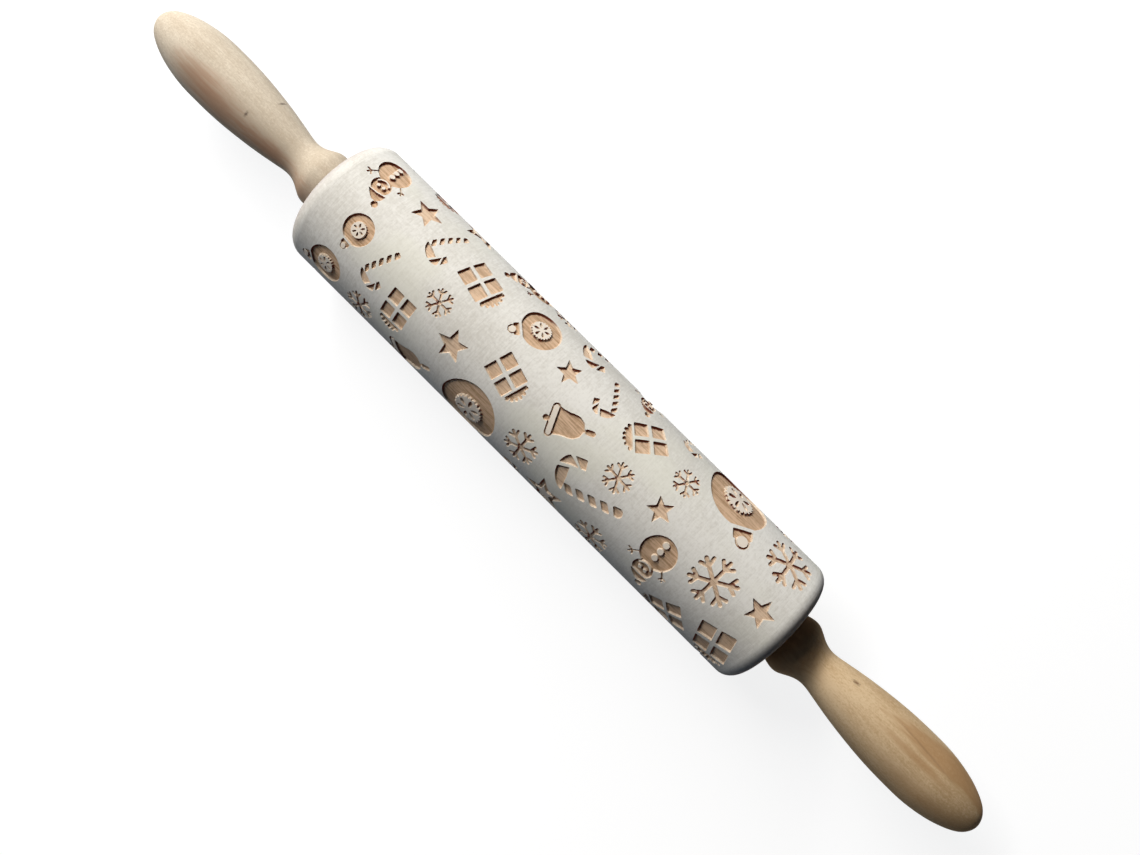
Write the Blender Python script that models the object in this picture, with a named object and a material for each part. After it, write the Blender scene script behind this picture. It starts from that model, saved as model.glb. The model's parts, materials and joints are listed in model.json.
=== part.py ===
"""Embossing rolling pin: an engraved wooden barrel that spins on two ball bearings
between turned handles. Metres, +Z up. The pin lies along X and its barrel rests on z = 0."""

import math

import bmesh
import bpy
from mathutils import Matrix, Vector
from mathutils.geometry import delaunay_2d_cdt
from mathutils.kdtree import KDTree

MM = 0.001

# Fits between touching pieces
FIT_GAP = 0.2 * MM  # radial gap between a piece and the seat that holds it
FACE_GAP = 0.2 * MM  # gap between two faces that are clamped together
ROD_CLEARANCE = 1.0 * MM  # between the turning barrel's bore and the rod through it
HANDLE_CLEARANCE = 0.8 * MM  # between the barrel's end and the handle, which stands still
MERGE_DISTANCE = 0.001 * MM

# Barrel
BARREL_RADIUS = 27.0 * MM
BARREL_LENGTH = 234.0 * MM
BARREL_SEGMENTS = 40
SHOULDER_RADIUS = 6.0 * MM
SHOULDER_STEPS = 3
SEAT_CHAMFER = 0.6 * MM

# Engraving, cut into the barrel to one depth
ENGRAVING_DEPTH = 0.8 * MM
GRID_LENGTH = 18.0 * MM  # spacing along X of the points between the motifs
GRID_CLEARANCE = 2.0 * MM  # least distance from such a point to a motif's corner or middle of an edge

# Axle rod
ROD_RADIUS = 4.0 * MM
THREAD_RADIUS = 2.7 * MM
THREAD_LENGTH = 16.0 * MM
ROD_CHAMFER = 0.6 * MM
ROD_SEGMENTS = 20

# Ball bearings
BEARING_BORE_RADIUS = 3.0 * MM
BEARING_RADIUS = 9.5 * MM
BEARING_WIDTH = 6.0 * MM
BALL_RADIUS = 1.75 * MM
BALL_PITCH_RADIUS = 6.25 * MM
BALL_COUNT = 7
BALL_SUBDIVISIONS = 2
RACE_CLEARANCE = 0.2 * MM
RACE_POINT_COUNT = 5
INNER_SHOULDER_RADIUS = 4.9 * MM
OUTER_SHOULDER_RADIUS = 7.6 * MM
SHIELD_THICKNESS = 0.35 * MM
SHIELD_INSET = 0.15 * MM  # from the ring's face to the shield
SHIELD_OUTER_RADIUS = 8.1 * MM
SHIELD_GAP = 0.25 * MM
CAGE_INNER_RADIUS = 5.35 * MM
CAGE_OUTER_RADIUS = 7.15 * MM
CAGE_OPEN_REACH = 1.0 * MM  # from the balls' centres to the open side
CAGE_BACK_REACH = 2.3 * MM  # and to the closed side
POCKET_CLEARANCE = 0.2 * MM
POCKET_SEGMENTS = 12
CAGE_SEGMENTS_PER_BALL = 4
CUTTER_OVERRUN = 1.0 * MM

# Washers between bearing and handle
WASHER_THICKNESS = 0.8 * MM
WASHER_RADIUS = 5.0 * MM

# Handles
HANDLE_LENGTH = 99.6 * MM
GRIP_RADIUS = 13.2 * MM
HANDLE_SEGMENTS = 28
HANDLE_CURVE_STEPS = 2
# along the handle from the barrel as a share of its length, and the radius there as a share of the grip's
HANDLE_PROFILE_SHARES = (
    (0.000, 0.740),
    (0.075, 0.915),
    (0.200, 0.620),
    (0.390, 0.855),
    (0.660, 1.000),
    (0.860, 0.840),
    (0.970, 0.480),
    (1.000, 0.000),
)

# Threaded inserts in the handles
INSERT_RADIUS = 4.3 * MM
INSERT_BORE_RADIUS = 3.0 * MM
INSERT_LENGTH = 13.0 * MM
INSERT_DEPTH = 1.0 * MM  # from the handle's face to the insert
INSERT_RIDGE_COUNT = 4
INSERT_RIDGE_HEIGHT = 0.5 * MM
INSERT_SEGMENTS = 16
BORE_END_ROOM = 3.0 * MM  # beyond the rod's end

# Unit outlines of the motifs, in shares of each motif's own size. Each outline is sunk or left standing,
# and the last one over a place decides.
STAR_TIP_COUNT = 5
STAR_NOTCH_SHARE = 0.45
STAR_INSIDE_SHARE = 0.52
GIFT_HEIGHT_SHARE = 1.08
GIFT_RIBBON_SHARE = 0.09
BOW_OUTLINE_SHARES = ((-0.42, 0.60), (0.42, 0.60), (0.34, 0.80), (0.12, 0.90), (-0.12, 0.90), (-0.34, 0.80))
CANE_WIDTH_SHARE = 0.15
CANE_SLANT_SHARE = 0.07
CANE_STEM_STRIPE_SHARES = (
    (-0.500, -0.375),
    (-0.295, -0.165),
    (-0.085, 0.045),
    (0.125, 0.255),
    (0.335, 0.460),
)
CANE_HOOK_SHARES = (0.23, 0.14, 0.30)  # half the hook's width, its rise, and its straight end
CANE_HOOK_STRIPE_SHARES = ((0.06, 0.50), (0.62, 0.92), (1.20, 1.85))  # in half turns around the hook
BAUBLE_SEGMENTS = 13
BAUBLE_INSIDE_SEGMENTS = 8
BAUBLE_INSIDE_SHARE = 0.49
CAP_OUTLINE_SHARES = ((-0.26, 1.06), (0.26, 1.06), (0.22, 1.40), (-0.22, 1.40))
SNOWFLAKE_ARM_COUNT = 6
SNOWFLAKE_ARM_SHARES = ((-0.06, 0.104), (-0.06, 0.58), (-0.26, 0.94), (0.26, 0.94), (0.06, 0.58))
BELL_SIDE_SHARES = ((0.44, 0.17), (0.36, 0.38), (0.31, 0.66), (0.20, 0.85), (0.07, 0.93), (0.07, 1.26))
BELL_RIM_SHARES = ((-0.50, -0.03), (0.50, -0.03), (0.50, 0.03), (-0.50, 0.03))
CLAPPER_SHARES = (0.02, -0.16, 0.10)  # across, along and radius
CLAPPER_SEGMENTS = 6
SNOWMAN_BODY_SEGMENTS = 12
SNOWMAN_HEAD_SHARES = (1.34, 0.59)  # the head's place above the body, and its radius
SNOWMAN_FACE_SHARE = 0.34
SNOWMAN_HEAD_SEGMENTS = 8
SNOWMAN_FACE_SEGMENTS = 6
SNOWMAN_BUTTON_SHARES = (-0.61, -0.15, 0.31)
SNOWMAN_BUTTON_SHARE = 0.19
SNOWMAN_BUTTON_SEGMENTS = 4
HAT_OUTLINE_SHARES = (
    (-0.60, 2.00),
    (0.46, 2.00),
    (0.10, 2.36),
    (-0.20, 2.48),
    (-0.24, 2.70),
    (-0.60, 2.66),
    (-0.60, 2.40),
)

MOTIF_UNIT_SHARE = 9 / 37  # the barrel's radius as a share of half the field's length

# Places of the motifs: kind, place along X as a share of half the engraved field's length, degrees around
# the barrel from its top towards +Y, size as a share of the barrel's radius, and the motif's turn
MOTIF_PLACE_SHARES = (
    # the side in front of the viewer
    ("snowman", -0.904, 47, 0.241, -170),
    ("star", -0.729, 41, 0.226, -3),
    ("cane_mirrored", -0.610, 38, 0.518, 156),
    ("gift", -0.443, 31, 0.430, -105),
    ("snowflake", -0.480, -5, 0.196, 30),
    ("bauble", -0.835, -9, 0.226, 173),
    ("cane_mirrored", -0.709, -14, 0.518, 153),
    ("gift", -0.573, -33, 0.407, 180),
    ("star", -0.358, -22, 0.233, 18),
    ("bauble", -0.870, -54, 0.281, 114),
    ("snowflake", -0.698, -62, 0.237, 30),
    ("bell", -0.523, -75, 0.526, -62),
    ("bauble", -0.190, 38, 0.300, 138),
    ("star", -0.028, 28, 0.185, -30),
    ("cane", 0.133, 42, 0.530, -153),
    ("gift", 0.307, 37, 0.437, 133),
    ("bell", 0.033, -8, 0.474, -66),
    ("gift", -0.167, -8, 0.419, -107),
    ("bauble", -0.192, -58, 0.474, -150),
    ("snowflake", 0.025, -44, 0.267, 0),
    ("cane", 0.307, -31, 0.890, 109),
    ("framed_star", 0.180, -68, 0.337, 22),
    ("snowflake", 0.389, -64, 0.281, 0),
    ("snowflake", 0.319, -4, 0.215, 26),
    ("bauble", 0.649, 61, 0.489, -147),
    ("snowflake", 0.901, 45, 0.356, 0),
    ("snowflake", 0.485, 31, 0.204, 30),
    ("snowflake", 0.757, -9, 0.344, 0),
    ("star", 0.484, 1, 0.181, -29),
    ("star", 0.927, -1, 0.207, -2),
    ("snowman", 0.577, -24, 0.261, -178),
    ("gift", 0.738, -64, 0.463, 130),
    ("gift", 0.903, -48, 0.511, -162),
    # over the far edge, of which only the near halves show
    ("snowflake", -0.928, 93, 0.222, 30),
    ("gift", -0.747, 89, 0.426, 180),
    ("framed_star", -0.585, 81, 0.348, 14),
    ("snowman", -0.300, 79, 0.237, 123),
    ("snowflake", -0.176, 80, 0.222, 30),
    ("cane_mirrored", 0.012, 79, 0.741, 131),
    ("snowman", 0.220, 86, 0.222, -178),
    ("cane_mirrored", 0.418, 81, 0.518, 156),
    ("snowflake", 0.842, 88, 0.237, 0),
    # the hidden side beyond the far edge
    ("bauble", -0.875, 124, 0.278, 20),
    ("cane", -0.690, 127, 0.500, 18),
    ("snowflake", -0.495, 112, 0.259, 0),
    ("gift", -0.327, 114, 0.420, -14),
    ("star", -0.137, 113, 0.222, 12),
    ("bell", 0.095, 113, 0.470, 62),
    ("bauble", 0.316, 120, 0.400, 40),
    ("star", 0.506, 108, 0.190, -20),
    ("snowman", 0.643, 118, 0.240, 12),
    ("gift", 0.896, 117, 0.430, 24),
    ("star", -0.928, 157, 0.215, 8),
    ("snowflake", -0.780, 160, 0.240, 30),
    ("bell", -0.585, 157, 0.450, -100),
    ("snowman", -0.306, 155, 0.215, -78),
    ("cane_mirrored", -0.074, 149, 0.500, -68),
    ("snowflake", 0.126, 155, 0.300, 0),
    ("gift", 0.474, 154, 0.430, 100),
    ("cane", 0.775, 155, 0.480, 78),
    ("star", 0.938, 155, 0.226, 25),
    # the hidden side beyond the near edge
    ("star", -0.917, -93, 0.230, 12),
    ("gift", -0.738, -101, 0.420, 15),
    ("snowflake", -0.337, -99, 0.230, 0),
    ("cane", 0.021, -93, 0.520, 25),
    ("snowflake", 0.253, -104, 0.220, 30),
    ("bell", 0.527, -97, 0.450, 75),
    ("star", 0.906, -90, 0.222, -12),
    ("bauble", -0.875, -133, 0.320, -30),
    ("cane_mirrored", -0.622, -145, 0.500, -25),
    ("snowman", -0.474, -119, 0.235, 172),
    ("framed_star", -0.253, -133, 0.330, 0),
    ("bauble", -0.042, -130, 0.240, 160),
    ("gift", 0.169, -137, 0.430, 72),
    ("snowman", 0.411, -127, 0.240, -172),
    ("snowflake", 0.601, -124, 0.290, 0),
    ("bauble", 0.822, -121, 0.340, 140),
    ("snowflake", -0.780, -163, 0.210, 0),
    ("star", -0.401, -161, 0.200, -16),
    ("snowflake", -0.200, -163, 0.210, 30),
    ("star", 0.011, -162, 0.190, 20),
    ("cane", 0.654, -163, 0.450, 86),
    ("star", 0.928, -158, 0.215, 0),
)

# Plain colours, each with its roughness and metallic value
WOOD_FINISH = ((0.79, 0.74, 0.68, 1.0), 0.6, 0.0)
LEFT_HANDLE_FINISH = ((0.86, 0.74, 0.64, 1.0), 0.5, 0.0)
RIGHT_HANDLE_FINISH = ((0.83, 0.68, 0.50, 1.0), 0.5, 0.0)
STEEL_FINISH = ((0.62, 0.63, 0.65, 1.0), 0.3, 1.0)
BEARING_FINISH = ((0.72, 0.73, 0.75, 1.0), 0.2, 1.0)
BRASS_FINISH = ((0.80, 0.62, 0.30, 1.0), 0.35, 1.0)
CAGE_FINISH = ((0.55, 0.52, 0.48, 1.0), 0.45, 1.0)

# Places worked out from the sizes above, measured along X from the barrel's middle
AXIS_HEIGHT = BARREL_RADIUS * math.cos(math.pi / BARREL_SEGMENTS)
BARREL_END = BARREL_LENGTH / 2
SEAT_RADIUS = BEARING_RADIUS + FIT_GAP
HANDLE_START = BARREL_END + HANDLE_CLEARANCE
WASHER_START = HANDLE_START - FACE_GAP - WASHER_THICKNESS
BEARING_FACE = WASHER_START - FACE_GAP
BEARING_MIDDLE = BEARING_FACE - BEARING_WIDTH / 2
SEAT_FLOOR = BEARING_FACE - BEARING_WIDTH - FACE_GAP
INSERT_START = HANDLE_START + INSERT_DEPTH
ROD_END = HANDLE_START + THREAD_LENGTH
JOURNAL_RADIUS = BEARING_BORE_RADIUS - FIT_GAP
ROD_BORE_RADIUS = ROD_RADIUS + ROD_CLEARANCE
FIELD_END = BARREL_END - SHOULDER_RADIUS


def clear_scene():
    """Take every object out of the scene."""
    for thing in list(bpy.data.objects):
        bpy.data.objects.remove(thing, do_unlink=True)


def material(name, finish):
    """A plain material: colour, roughness and metallic value."""
    colour, roughness, metallic = finish
    made = bpy.data.materials.new(name)
    made.use_nodes = True
    shader = made.node_tree.nodes["Principled BSDF"]
    shader.inputs["Base Color"].default_value = colour
    shader.inputs["Roughness"].default_value = roughness
    shader.inputs["Metallic"].default_value = metallic
    made.diffuse_color = colour
    return made


def add_object(name, bm, finish, origin=None):
    """Turn a bmesh, drawn about the pin's middle on its axis, into one smooth-shaded object.

    The object's own origin is put at the given point of the axis frame.
    """
    origin = Vector((0, 0, 0)) if origin is None else Vector(origin)
    bmesh.ops.translate(bm, verts=bm.verts, vec=-origin)
    bmesh.ops.recalc_face_normals(bm, faces=bm.faces)
    mesh = bpy.data.meshes.new(name)
    bm.to_mesh(mesh)
    bm.free()
    mesh.shade_smooth()
    mesh.set_sharp_from_angle(angle=math.radians(35))
    thing = bpy.data.objects.new(name, mesh)
    mesh.materials.append(material(name, finish))
    bpy.context.collection.objects.link(thing)
    thing.location = origin + Vector((0, 0, AXIS_HEIGHT))
    return thing


def turned(profile, segments, closed=True):
    """A bmesh turned about the X axis from (x, radius) points that meet the axis or close on themselves."""
    bm = bmesh.new()
    verts = [bm.verts.new((x, 0, radius)) for x, radius in profile]
    edges = [bm.edges.new(pair) for pair in zip(verts, verts[1:])]
    if closed:
        edges.append(bm.edges.new((verts[-1], verts[0])))
    bmesh.ops.spin(
        bm,
        geom=verts + edges,
        cent=(0, 0, 0),
        axis=(1, 0, 0),
        angle=2 * math.pi,
        steps=segments,
        use_merge=True,
    )
    bmesh.ops.remove_doubles(bm, verts=bm.verts, dist=MERGE_DISTANCE)
    return bm


def mirrored(bm, side):
    """The same bmesh, drawn at the right, moved to the left where the side is -1."""
    if side < 0:
        bmesh.ops.transform(bm, matrix=Matrix.Scale(-1, 4, (1, 0, 0)), verts=bm.verts)
        bmesh.ops.reverse_faces(bm, faces=bm.faces)
    return bm


def cubic(t, before, start, end, after):
    """The value at share t from start to end, on the cubic whose slopes at them follow the neighbours."""
    slope_in = (end - before) / 2
    slope_out = (after - start) / 2
    square = 3 * (end - start) - 2 * slope_in - slope_out
    cube = slope_in + slope_out - 2 * (end - start)
    return start + t * slope_in + t**2 * square + t**3 * cube


def smooth_curve(points, steps):
    """More points through the given ones, by cubic pieces whose slopes follow the neighbours."""
    padded = [points[0], *points, points[-1]]
    curve = []
    for before, start, end, after in zip(padded, padded[1:], padded[2:], padded[3:]):
        for step in range(steps):
            t = step / steps
            curve.append(tuple(cubic(t, *values) for values in zip(before, start, end, after)))
    curve.append(points[-1])
    return curve


def ring(corners, radius, across=0.0, along=0.0, start=math.pi / 2):
    """Corners of a regular polygon about the point (across, along)."""
    angles = [start + 2 * math.pi * i / corners for i in range(corners)]
    return [(across + radius * math.cos(a), along + radius * math.sin(a)) for a in angles]


def star():
    """A five-pointed star whose tips are at radius 1."""
    tips = ring(STAR_TIP_COUNT, 1)
    notches = ring(STAR_TIP_COUNT, STAR_NOTCH_SHARE, start=math.pi / 2 + math.pi / STAR_TIP_COUNT)
    return [(True, [point for pair in zip(tips, notches) for point in pair])]


def framed_star():
    """A star whose middle is left standing as a smaller star."""
    outline = star()[0][1]
    inside = [(STAR_INSIDE_SHARE * x, STAR_INSIDE_SHARE * y) for x, y in outline]
    return [(True, outline), (False, inside)]


def gift():
    """A parcel of width 1: four panes around the ribbon's cross, with a bow on top."""
    loops = [(True, list(BOW_OUTLINE_SHARES))]
    gap = GIFT_RIBBON_SHARE / 2
    top = GIFT_HEIGHT_SHARE / 2
    for side in (-1, 1):
        for end in (-1, 1):
            x0, x1, y0, y1 = side * gap, side / 2, end * gap, end * top
            loops.append((True, [(x0, y0), (x1, y0), (x1, y1), (x0, y1)]))
    return loops


def cane():
    """A walking-stick shape with a stem of length 1 and slanted stripes, hooked towards +X."""
    half = CANE_WIDTH_SHARE / 2
    loops = []
    for low, high in CANE_STEM_STRIPE_SHARES:
        lower = [(-half, low - CANE_SLANT_SHARE / 2), (half, low + CANE_SLANT_SHARE / 2)]
        upper = [(half, high + CANE_SLANT_SHARE / 2), (-half, high - CANE_SLANT_SHARE / 2)]
        loops.append((True, lower + upper))
    for low, high in CANE_HOOK_STRIPE_SHARES:
        stops = [low, (low + high) / 2, high] if low < 1 / 2 else [low, high]
        outer = [hook_point(stop - CANE_SLANT_SHARE, half) for stop in stops]
        inner = [hook_point(stop + CANE_SLANT_SHARE, -half) for stop in reversed(stops)]
        loops.append((True, outer + inner))
    return loops


def hook_point(turns, offset):
    """A point of the cane's hook, by half turns from the stem and then straight down, and how far out."""
    half_width, rise, straight = CANE_HOOK_SHARES
    angle = math.pi * (1 - min(turns, 1))
    across = half_width + (half_width + offset) * math.cos(angle)
    along = 1 / 2 + (rise + offset) * math.sin(angle) - straight * max(turns - 1, 0)
    return (across, along)


def cane_mirrored():
    """The cane hooked towards -X."""
    return [(sunk, [(-x, y) for x, y in points]) for sunk, points in cane()]


def bauble():
    """A ball of radius 1 with a round plate left standing in it, and a cap."""
    return [
        (True, ring(BAUBLE_SEGMENTS, 1)),
        (False, ring(BAUBLE_INSIDE_SEGMENTS, BAUBLE_INSIDE_SHARE)),
        (True, list(CAP_OUTLINE_SHARES)),
    ]


def snowflake():
    """Six arms, each with a forked end, as one outline."""
    outline = []
    for arm in range(SNOWFLAKE_ARM_COUNT):
        turn = Matrix.Rotation(-2 * math.pi * arm / SNOWFLAKE_ARM_COUNT, 2)
        outline += [tuple(turn @ Vector(point)) for point in SNOWFLAKE_ARM_SHARES]
    return [(True, outline)]


def bell():
    """A hand bell whose mouth is 1 wide, with its handle, a line under the rim and the clapper."""
    across, along, radius = CLAPPER_SHARES
    return [
        (True, list(BELL_SIDE_SHARES) + [(-x, y) for x, y in reversed(BELL_SIDE_SHARES)]),
        (True, list(BELL_RIM_SHARES)),
        (True, ring(CLAPPER_SEGMENTS, radius, across, along)),
    ]


def snowman():
    """A body of radius 1 with three buttons left standing, a head and a pointed hat."""
    height, radius = SNOWMAN_HEAD_SHARES
    loops = [(True, ring(SNOWMAN_BODY_SEGMENTS, 1)), (True, list(HAT_OUTLINE_SHARES))]
    loops.append((True, ring(SNOWMAN_HEAD_SEGMENTS, radius, 0.0, height, math.pi / SNOWMAN_HEAD_SEGMENTS)))
    loops.append((False, ring(SNOWMAN_FACE_SEGMENTS, SNOWMAN_FACE_SHARE, 0.0, height)))
    for along in SNOWMAN_BUTTON_SHARES:
        loops.append((False, ring(SNOWMAN_BUTTON_SEGMENTS, SNOWMAN_BUTTON_SHARE, 0.0, along)))
    return loops


MOTIFS = {
    "star": star,
    "framed_star": framed_star,
    "gift": gift,
    "cane": cane,
    "cane_mirrored": cane_mirrored,
    "bauble": bauble,
    "snowflake": snowflake,
    "bell": bell,
    "snowman": snowman,
}


def anticlockwise(points):
    """The outline's points, in anticlockwise order."""
    area = sum(start.cross(end) for start, end in zip(points, points[1:] + points[:1]))
    return points if area > 0 else points[::-1]


def placed_loops():
    """Every outline of the pattern on the unrolled barrel, as (sunk or not, points of (x, arc length)).

    The pattern is drawn on the whole field between the shoulders and stretches with it.
    """
    loops = []
    for kind, along_share, degrees, size_share, turn in MOTIF_PLACE_SHARES:
        place = Vector((along_share * FIELD_END, BARREL_RADIUS * math.radians(degrees)))
        rotation = Matrix.Rotation(math.radians(turn), 2)
        size = size_share * Vector((MOTIF_UNIT_SHARE * FIELD_END, BARREL_RADIUS))
        for sunk, outline in MOTIFS[kind]():
            points = [place + size * (rotation @ Vector(point)) for point in outline]
            loops.append((sunk, anticlockwise(points)))
    return loops


def outline_tree(loops):
    """A search tree of every outline's corners and the middles of its edges."""
    spots = []
    for _, loop in loops:
        for start, end in zip(loop, loop[1:] + loop[:1]):
            spots += [start, (start + end) / 2]
    tree = KDTree(len(spots))
    for index, spot in enumerate(spots):
        tree.insert((spot.x, spot.y, 0), index)
    tree.balance()
    return tree


def sheet_grid(loops):
    """Points and edges of the plain sheet: full columns at its seam and at the strip it rests on.

    The seam and the resting strip lie at the barrel's underside, where no motif reaches. Elsewhere a
    column's points are left out where they come close to an outline.
    """
    column_step = 2 * math.pi * BARREL_RADIUS / BARREL_SEGMENTS
    row_count = round(2 * FIELD_END / GRID_LENGTH)
    tree = outline_tree(loops)
    points, columns = [], []
    for column in range(BARREL_SEGMENTS + 1):
        arc = (column - (BARREL_SEGMENTS - 1) / 2) * column_step
        full = column in (0, BARREL_SEGMENTS - 1, BARREL_SEGMENTS)
        numbers = []
        for row in range(row_count + 1):
            point = Vector((FIELD_END * (2 * row / row_count - 1), arc))
            nearest = tree.find((point.x, point.y, 0))[2]
            if full or row in (0, row_count) or nearest > GRID_CLEARANCE:
                numbers.append(len(points))
                points.append(point)
        columns.append((full, numbers))
    edges = []
    for full, numbers in columns:
        if full:
            edges += zip(numbers, numbers[1:])
    for (_, before), (_, after) in zip(columns, columns[1:]):
        edges += [(before[0], after[0]), (before[-1], after[-1])]
    return points, edges


def engraved_sheet():
    """The barrel's surface, flat, with the pattern sunk into it.

    The sheet is the band from shoulder to shoulder, unrolled. A triangulation keeps every outline as edges,
    and the triangles whose last outline is a sunk one are pushed down as one region, which makes the walls.
    """
    loops = placed_loops()
    points, edges = sheet_grid(loops)
    outlines = []
    for _, loop in loops:
        outlines.append(list(range(len(points), len(points) + len(loop))))
        points += loop
    flat = delaunay_2d_cdt(points, edges, outlines, 0, MERGE_DISTANCE, True)
    corners, triangles, sources = flat[0], flat[2], flat[5]

    bm = bmesh.new()
    verts = [bm.verts.new((point.x, point.y, 0)) for point in corners]
    sunk = []
    for triangle, inside in zip(triangles, sources):
        face = bm.faces.new([verts[i] for i in triangle])
        if inside and loops[max(inside)][0]:
            sunk.append(face)
    moved = bmesh.ops.extrude_face_region(bm, geom=sunk)
    floor = [thing for thing in moved["geom"] if isinstance(thing, bmesh.types.BMVert)]
    bmesh.ops.translate(bm, verts=floor, vec=(0, 0, -ENGRAVING_DEPTH))
    bmesh.ops.delete(bm, geom=[face for face in sunk if face.is_valid], context="FACES")
    return bm


def barrel():
    """The engraved sheet rolled up, closed by a turned skin of shoulders, ends, seats and bore."""
    bm = engraved_sheet()
    for vert in bm.verts:
        angle = vert.co.y / BARREL_RADIUS
        radius = BARREL_RADIUS + vert.co.z
        vert.co = (vert.co.x, radius * math.sin(angle), radius * math.cos(angle))

    end = [(FIELD_END, BARREL_RADIUS)]
    for step in range(1, SHOULDER_STEPS + 1):
        angle = math.pi / 2 * step / SHOULDER_STEPS
        x = FIELD_END + SHOULDER_RADIUS * math.sin(angle)
        end.append((x, BARREL_RADIUS - SHOULDER_RADIUS * (1 - math.cos(angle))))
    end += [
        (BARREL_END, SEAT_RADIUS + SEAT_CHAMFER),
        (BARREL_END - SEAT_CHAMFER, SEAT_RADIUS),
        (SEAT_FLOOR, SEAT_RADIUS),
        (SEAT_FLOOR, ROD_BORE_RADIUS),
    ]
    profile = end + [(-x, radius) for x, radius in reversed(end)]
    skin = turned(profile, BARREL_SEGMENTS, closed=False)
    half_step = Matrix.Rotation(math.pi / BARREL_SEGMENTS, 4, "X")
    bmesh.ops.transform(skin, matrix=half_step, verts=skin.verts)
    mesh = bpy.data.meshes.new("barrel_skin")
    skin.to_mesh(mesh)
    skin.free()
    bm.from_mesh(mesh)
    bpy.data.meshes.remove(mesh)
    bmesh.ops.remove_doubles(bm, verts=bm.verts, dist=MERGE_DISTANCE)
    return add_object("barrel", bm, WOOD_FINISH)


def axle_rod():
    """One steel rod: thick inside the barrel, with a journal in each bearing and screwed ends."""
    right = [
        (SEAT_FLOOR, ROD_RADIUS),
        (SEAT_FLOOR, JOURNAL_RADIUS),
        (HANDLE_START, JOURNAL_RADIUS),
        (HANDLE_START, THREAD_RADIUS),
        (ROD_END - ROD_CHAMFER, THREAD_RADIUS),
        (ROD_END, THREAD_RADIUS - ROD_CHAMFER),
        (ROD_END, 0),
    ]
    left = [(-x, radius) for x, radius in reversed(right)]
    return add_object("axle_rod", turned(left + right, ROD_SEGMENTS, closed=False), STEEL_FINISH)


def handle(name, side, finish):
    """A turned handle with a blind bore for the threaded insert and the rod's end."""
    curve = smooth_curve(HANDLE_PROFILE_SHARES, HANDLE_CURVE_STEPS)
    outside = [(HANDLE_START + share * HANDLE_LENGTH, radius * GRIP_RADIUS) for share, radius in curve]
    outside[-1] = (outside[-1][0], 0)
    bore_radius = INSERT_RADIUS + FIT_GAP
    bore_end = ROD_END + BORE_END_ROOM
    profile = [(bore_end, 0), (bore_end, bore_radius), (HANDLE_START, bore_radius), *outside]
    return add_object(name, mirrored(turned(profile, HANDLE_SEGMENTS, closed=False), side), finish)


def handle_insert(name, side):
    """A threaded sleeve with ridges that bite into the handle's wood."""
    pitch = INSERT_LENGTH / INSERT_RIDGE_COUNT
    outside = []
    for ridge in range(INSERT_RIDGE_COUNT):
        start = INSERT_START + ridge * pitch
        outside.append((start, INSERT_RADIUS - INSERT_RIDGE_HEIGHT))
        outside.append((start + pitch / 2, INSERT_RADIUS))
    end = INSERT_START + INSERT_LENGTH
    outside.append((end, INSERT_RADIUS - INSERT_RIDGE_HEIGHT))
    profile = [*outside, (end, INSERT_BORE_RADIUS), (INSERT_START, INSERT_BORE_RADIUS)]
    return add_object(name, mirrored(turned(profile, INSERT_SEGMENTS), side), BRASS_FINISH)


def washer(name, side):
    """A flat spacer ring on the rod between the bearing's inner ring and the handle."""
    end = WASHER_START + WASHER_THICKNESS
    bore = JOURNAL_RADIUS + FIT_GAP
    profile = [(WASHER_START, bore), (WASHER_START, WASHER_RADIUS), (end, WASHER_RADIUS), (end, bore)]
    return add_object(name, mirrored(turned(profile, ROD_SEGMENTS), side), STEEL_FINISH)


def race(shoulder_radius):
    """The ball groove of a ring, from its inner end to its outer end, as (x, radius) points.

    The groove is an arc about the balls' centres, cut off where it reaches the ring's shoulder.
    """
    groove = BALL_RADIUS + RACE_CLEARANCE
    rise = shoulder_radius - BALL_PITCH_RADIUS
    half_angle = math.acos(abs(rise) / groove)
    points = []
    for i in range(RACE_POINT_COUNT):
        angle = half_angle * (2 * i / (RACE_POINT_COUNT - 1) - 1)
        radius = BALL_PITCH_RADIUS + math.copysign(groove * math.cos(angle), rise)
        points.append((BEARING_MIDDLE + groove * math.sin(angle), radius))
    return points


def inner_ring(name, side):
    """The bearing's inner ring, which sits on the rod's journal."""
    start = BEARING_FACE - BEARING_WIDTH
    profile = [
        (start, BEARING_BORE_RADIUS),
        (start, INNER_SHOULDER_RADIUS),
        *race(INNER_SHOULDER_RADIUS),
        (BEARING_FACE, INNER_SHOULDER_RADIUS),
        (BEARING_FACE, BEARING_BORE_RADIUS),
    ]
    return add_object(name, mirrored(turned(profile, ROD_SEGMENTS), side), BEARING_FINISH)


def outer_ring(name, side):
    """The bearing's outer ring, which sits in the barrel, with a step for the shield on its outer side."""
    start = BEARING_FACE - BEARING_WIDTH
    step = BEARING_FACE - SHIELD_INSET - SHIELD_THICKNESS - SHIELD_INSET
    shield_seat = SHIELD_OUTER_RADIUS + FIT_GAP
    profile = [
        (start, BEARING_RADIUS),
        (start, OUTER_SHOULDER_RADIUS),
        *race(OUTER_SHOULDER_RADIUS),
        (step, OUTER_SHOULDER_RADIUS),
        (step, shield_seat),
        (BEARING_FACE, shield_seat),
        (BEARING_FACE, BEARING_RADIUS),
    ]
    return add_object(name, mirrored(turned(profile, ROD_SEGMENTS), side), BEARING_FINISH)


def shield(name, side):
    """A thin ring in the outer ring's step that keeps flour away from the balls."""
    end = BEARING_FACE - SHIELD_INSET
    start = end - SHIELD_THICKNESS
    inner = INNER_SHOULDER_RADIUS + SHIELD_GAP
    profile = [(start, inner), (start, SHIELD_OUTER_RADIUS), (end, SHIELD_OUTER_RADIUS), (end, inner)]
    return add_object(name, mirrored(turned(profile, ROD_SEGMENTS), side), STEEL_FINISH)


def ball_angle(index):
    """The angle of one ball about the axis."""
    return 2 * math.pi * index / BALL_COUNT


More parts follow.
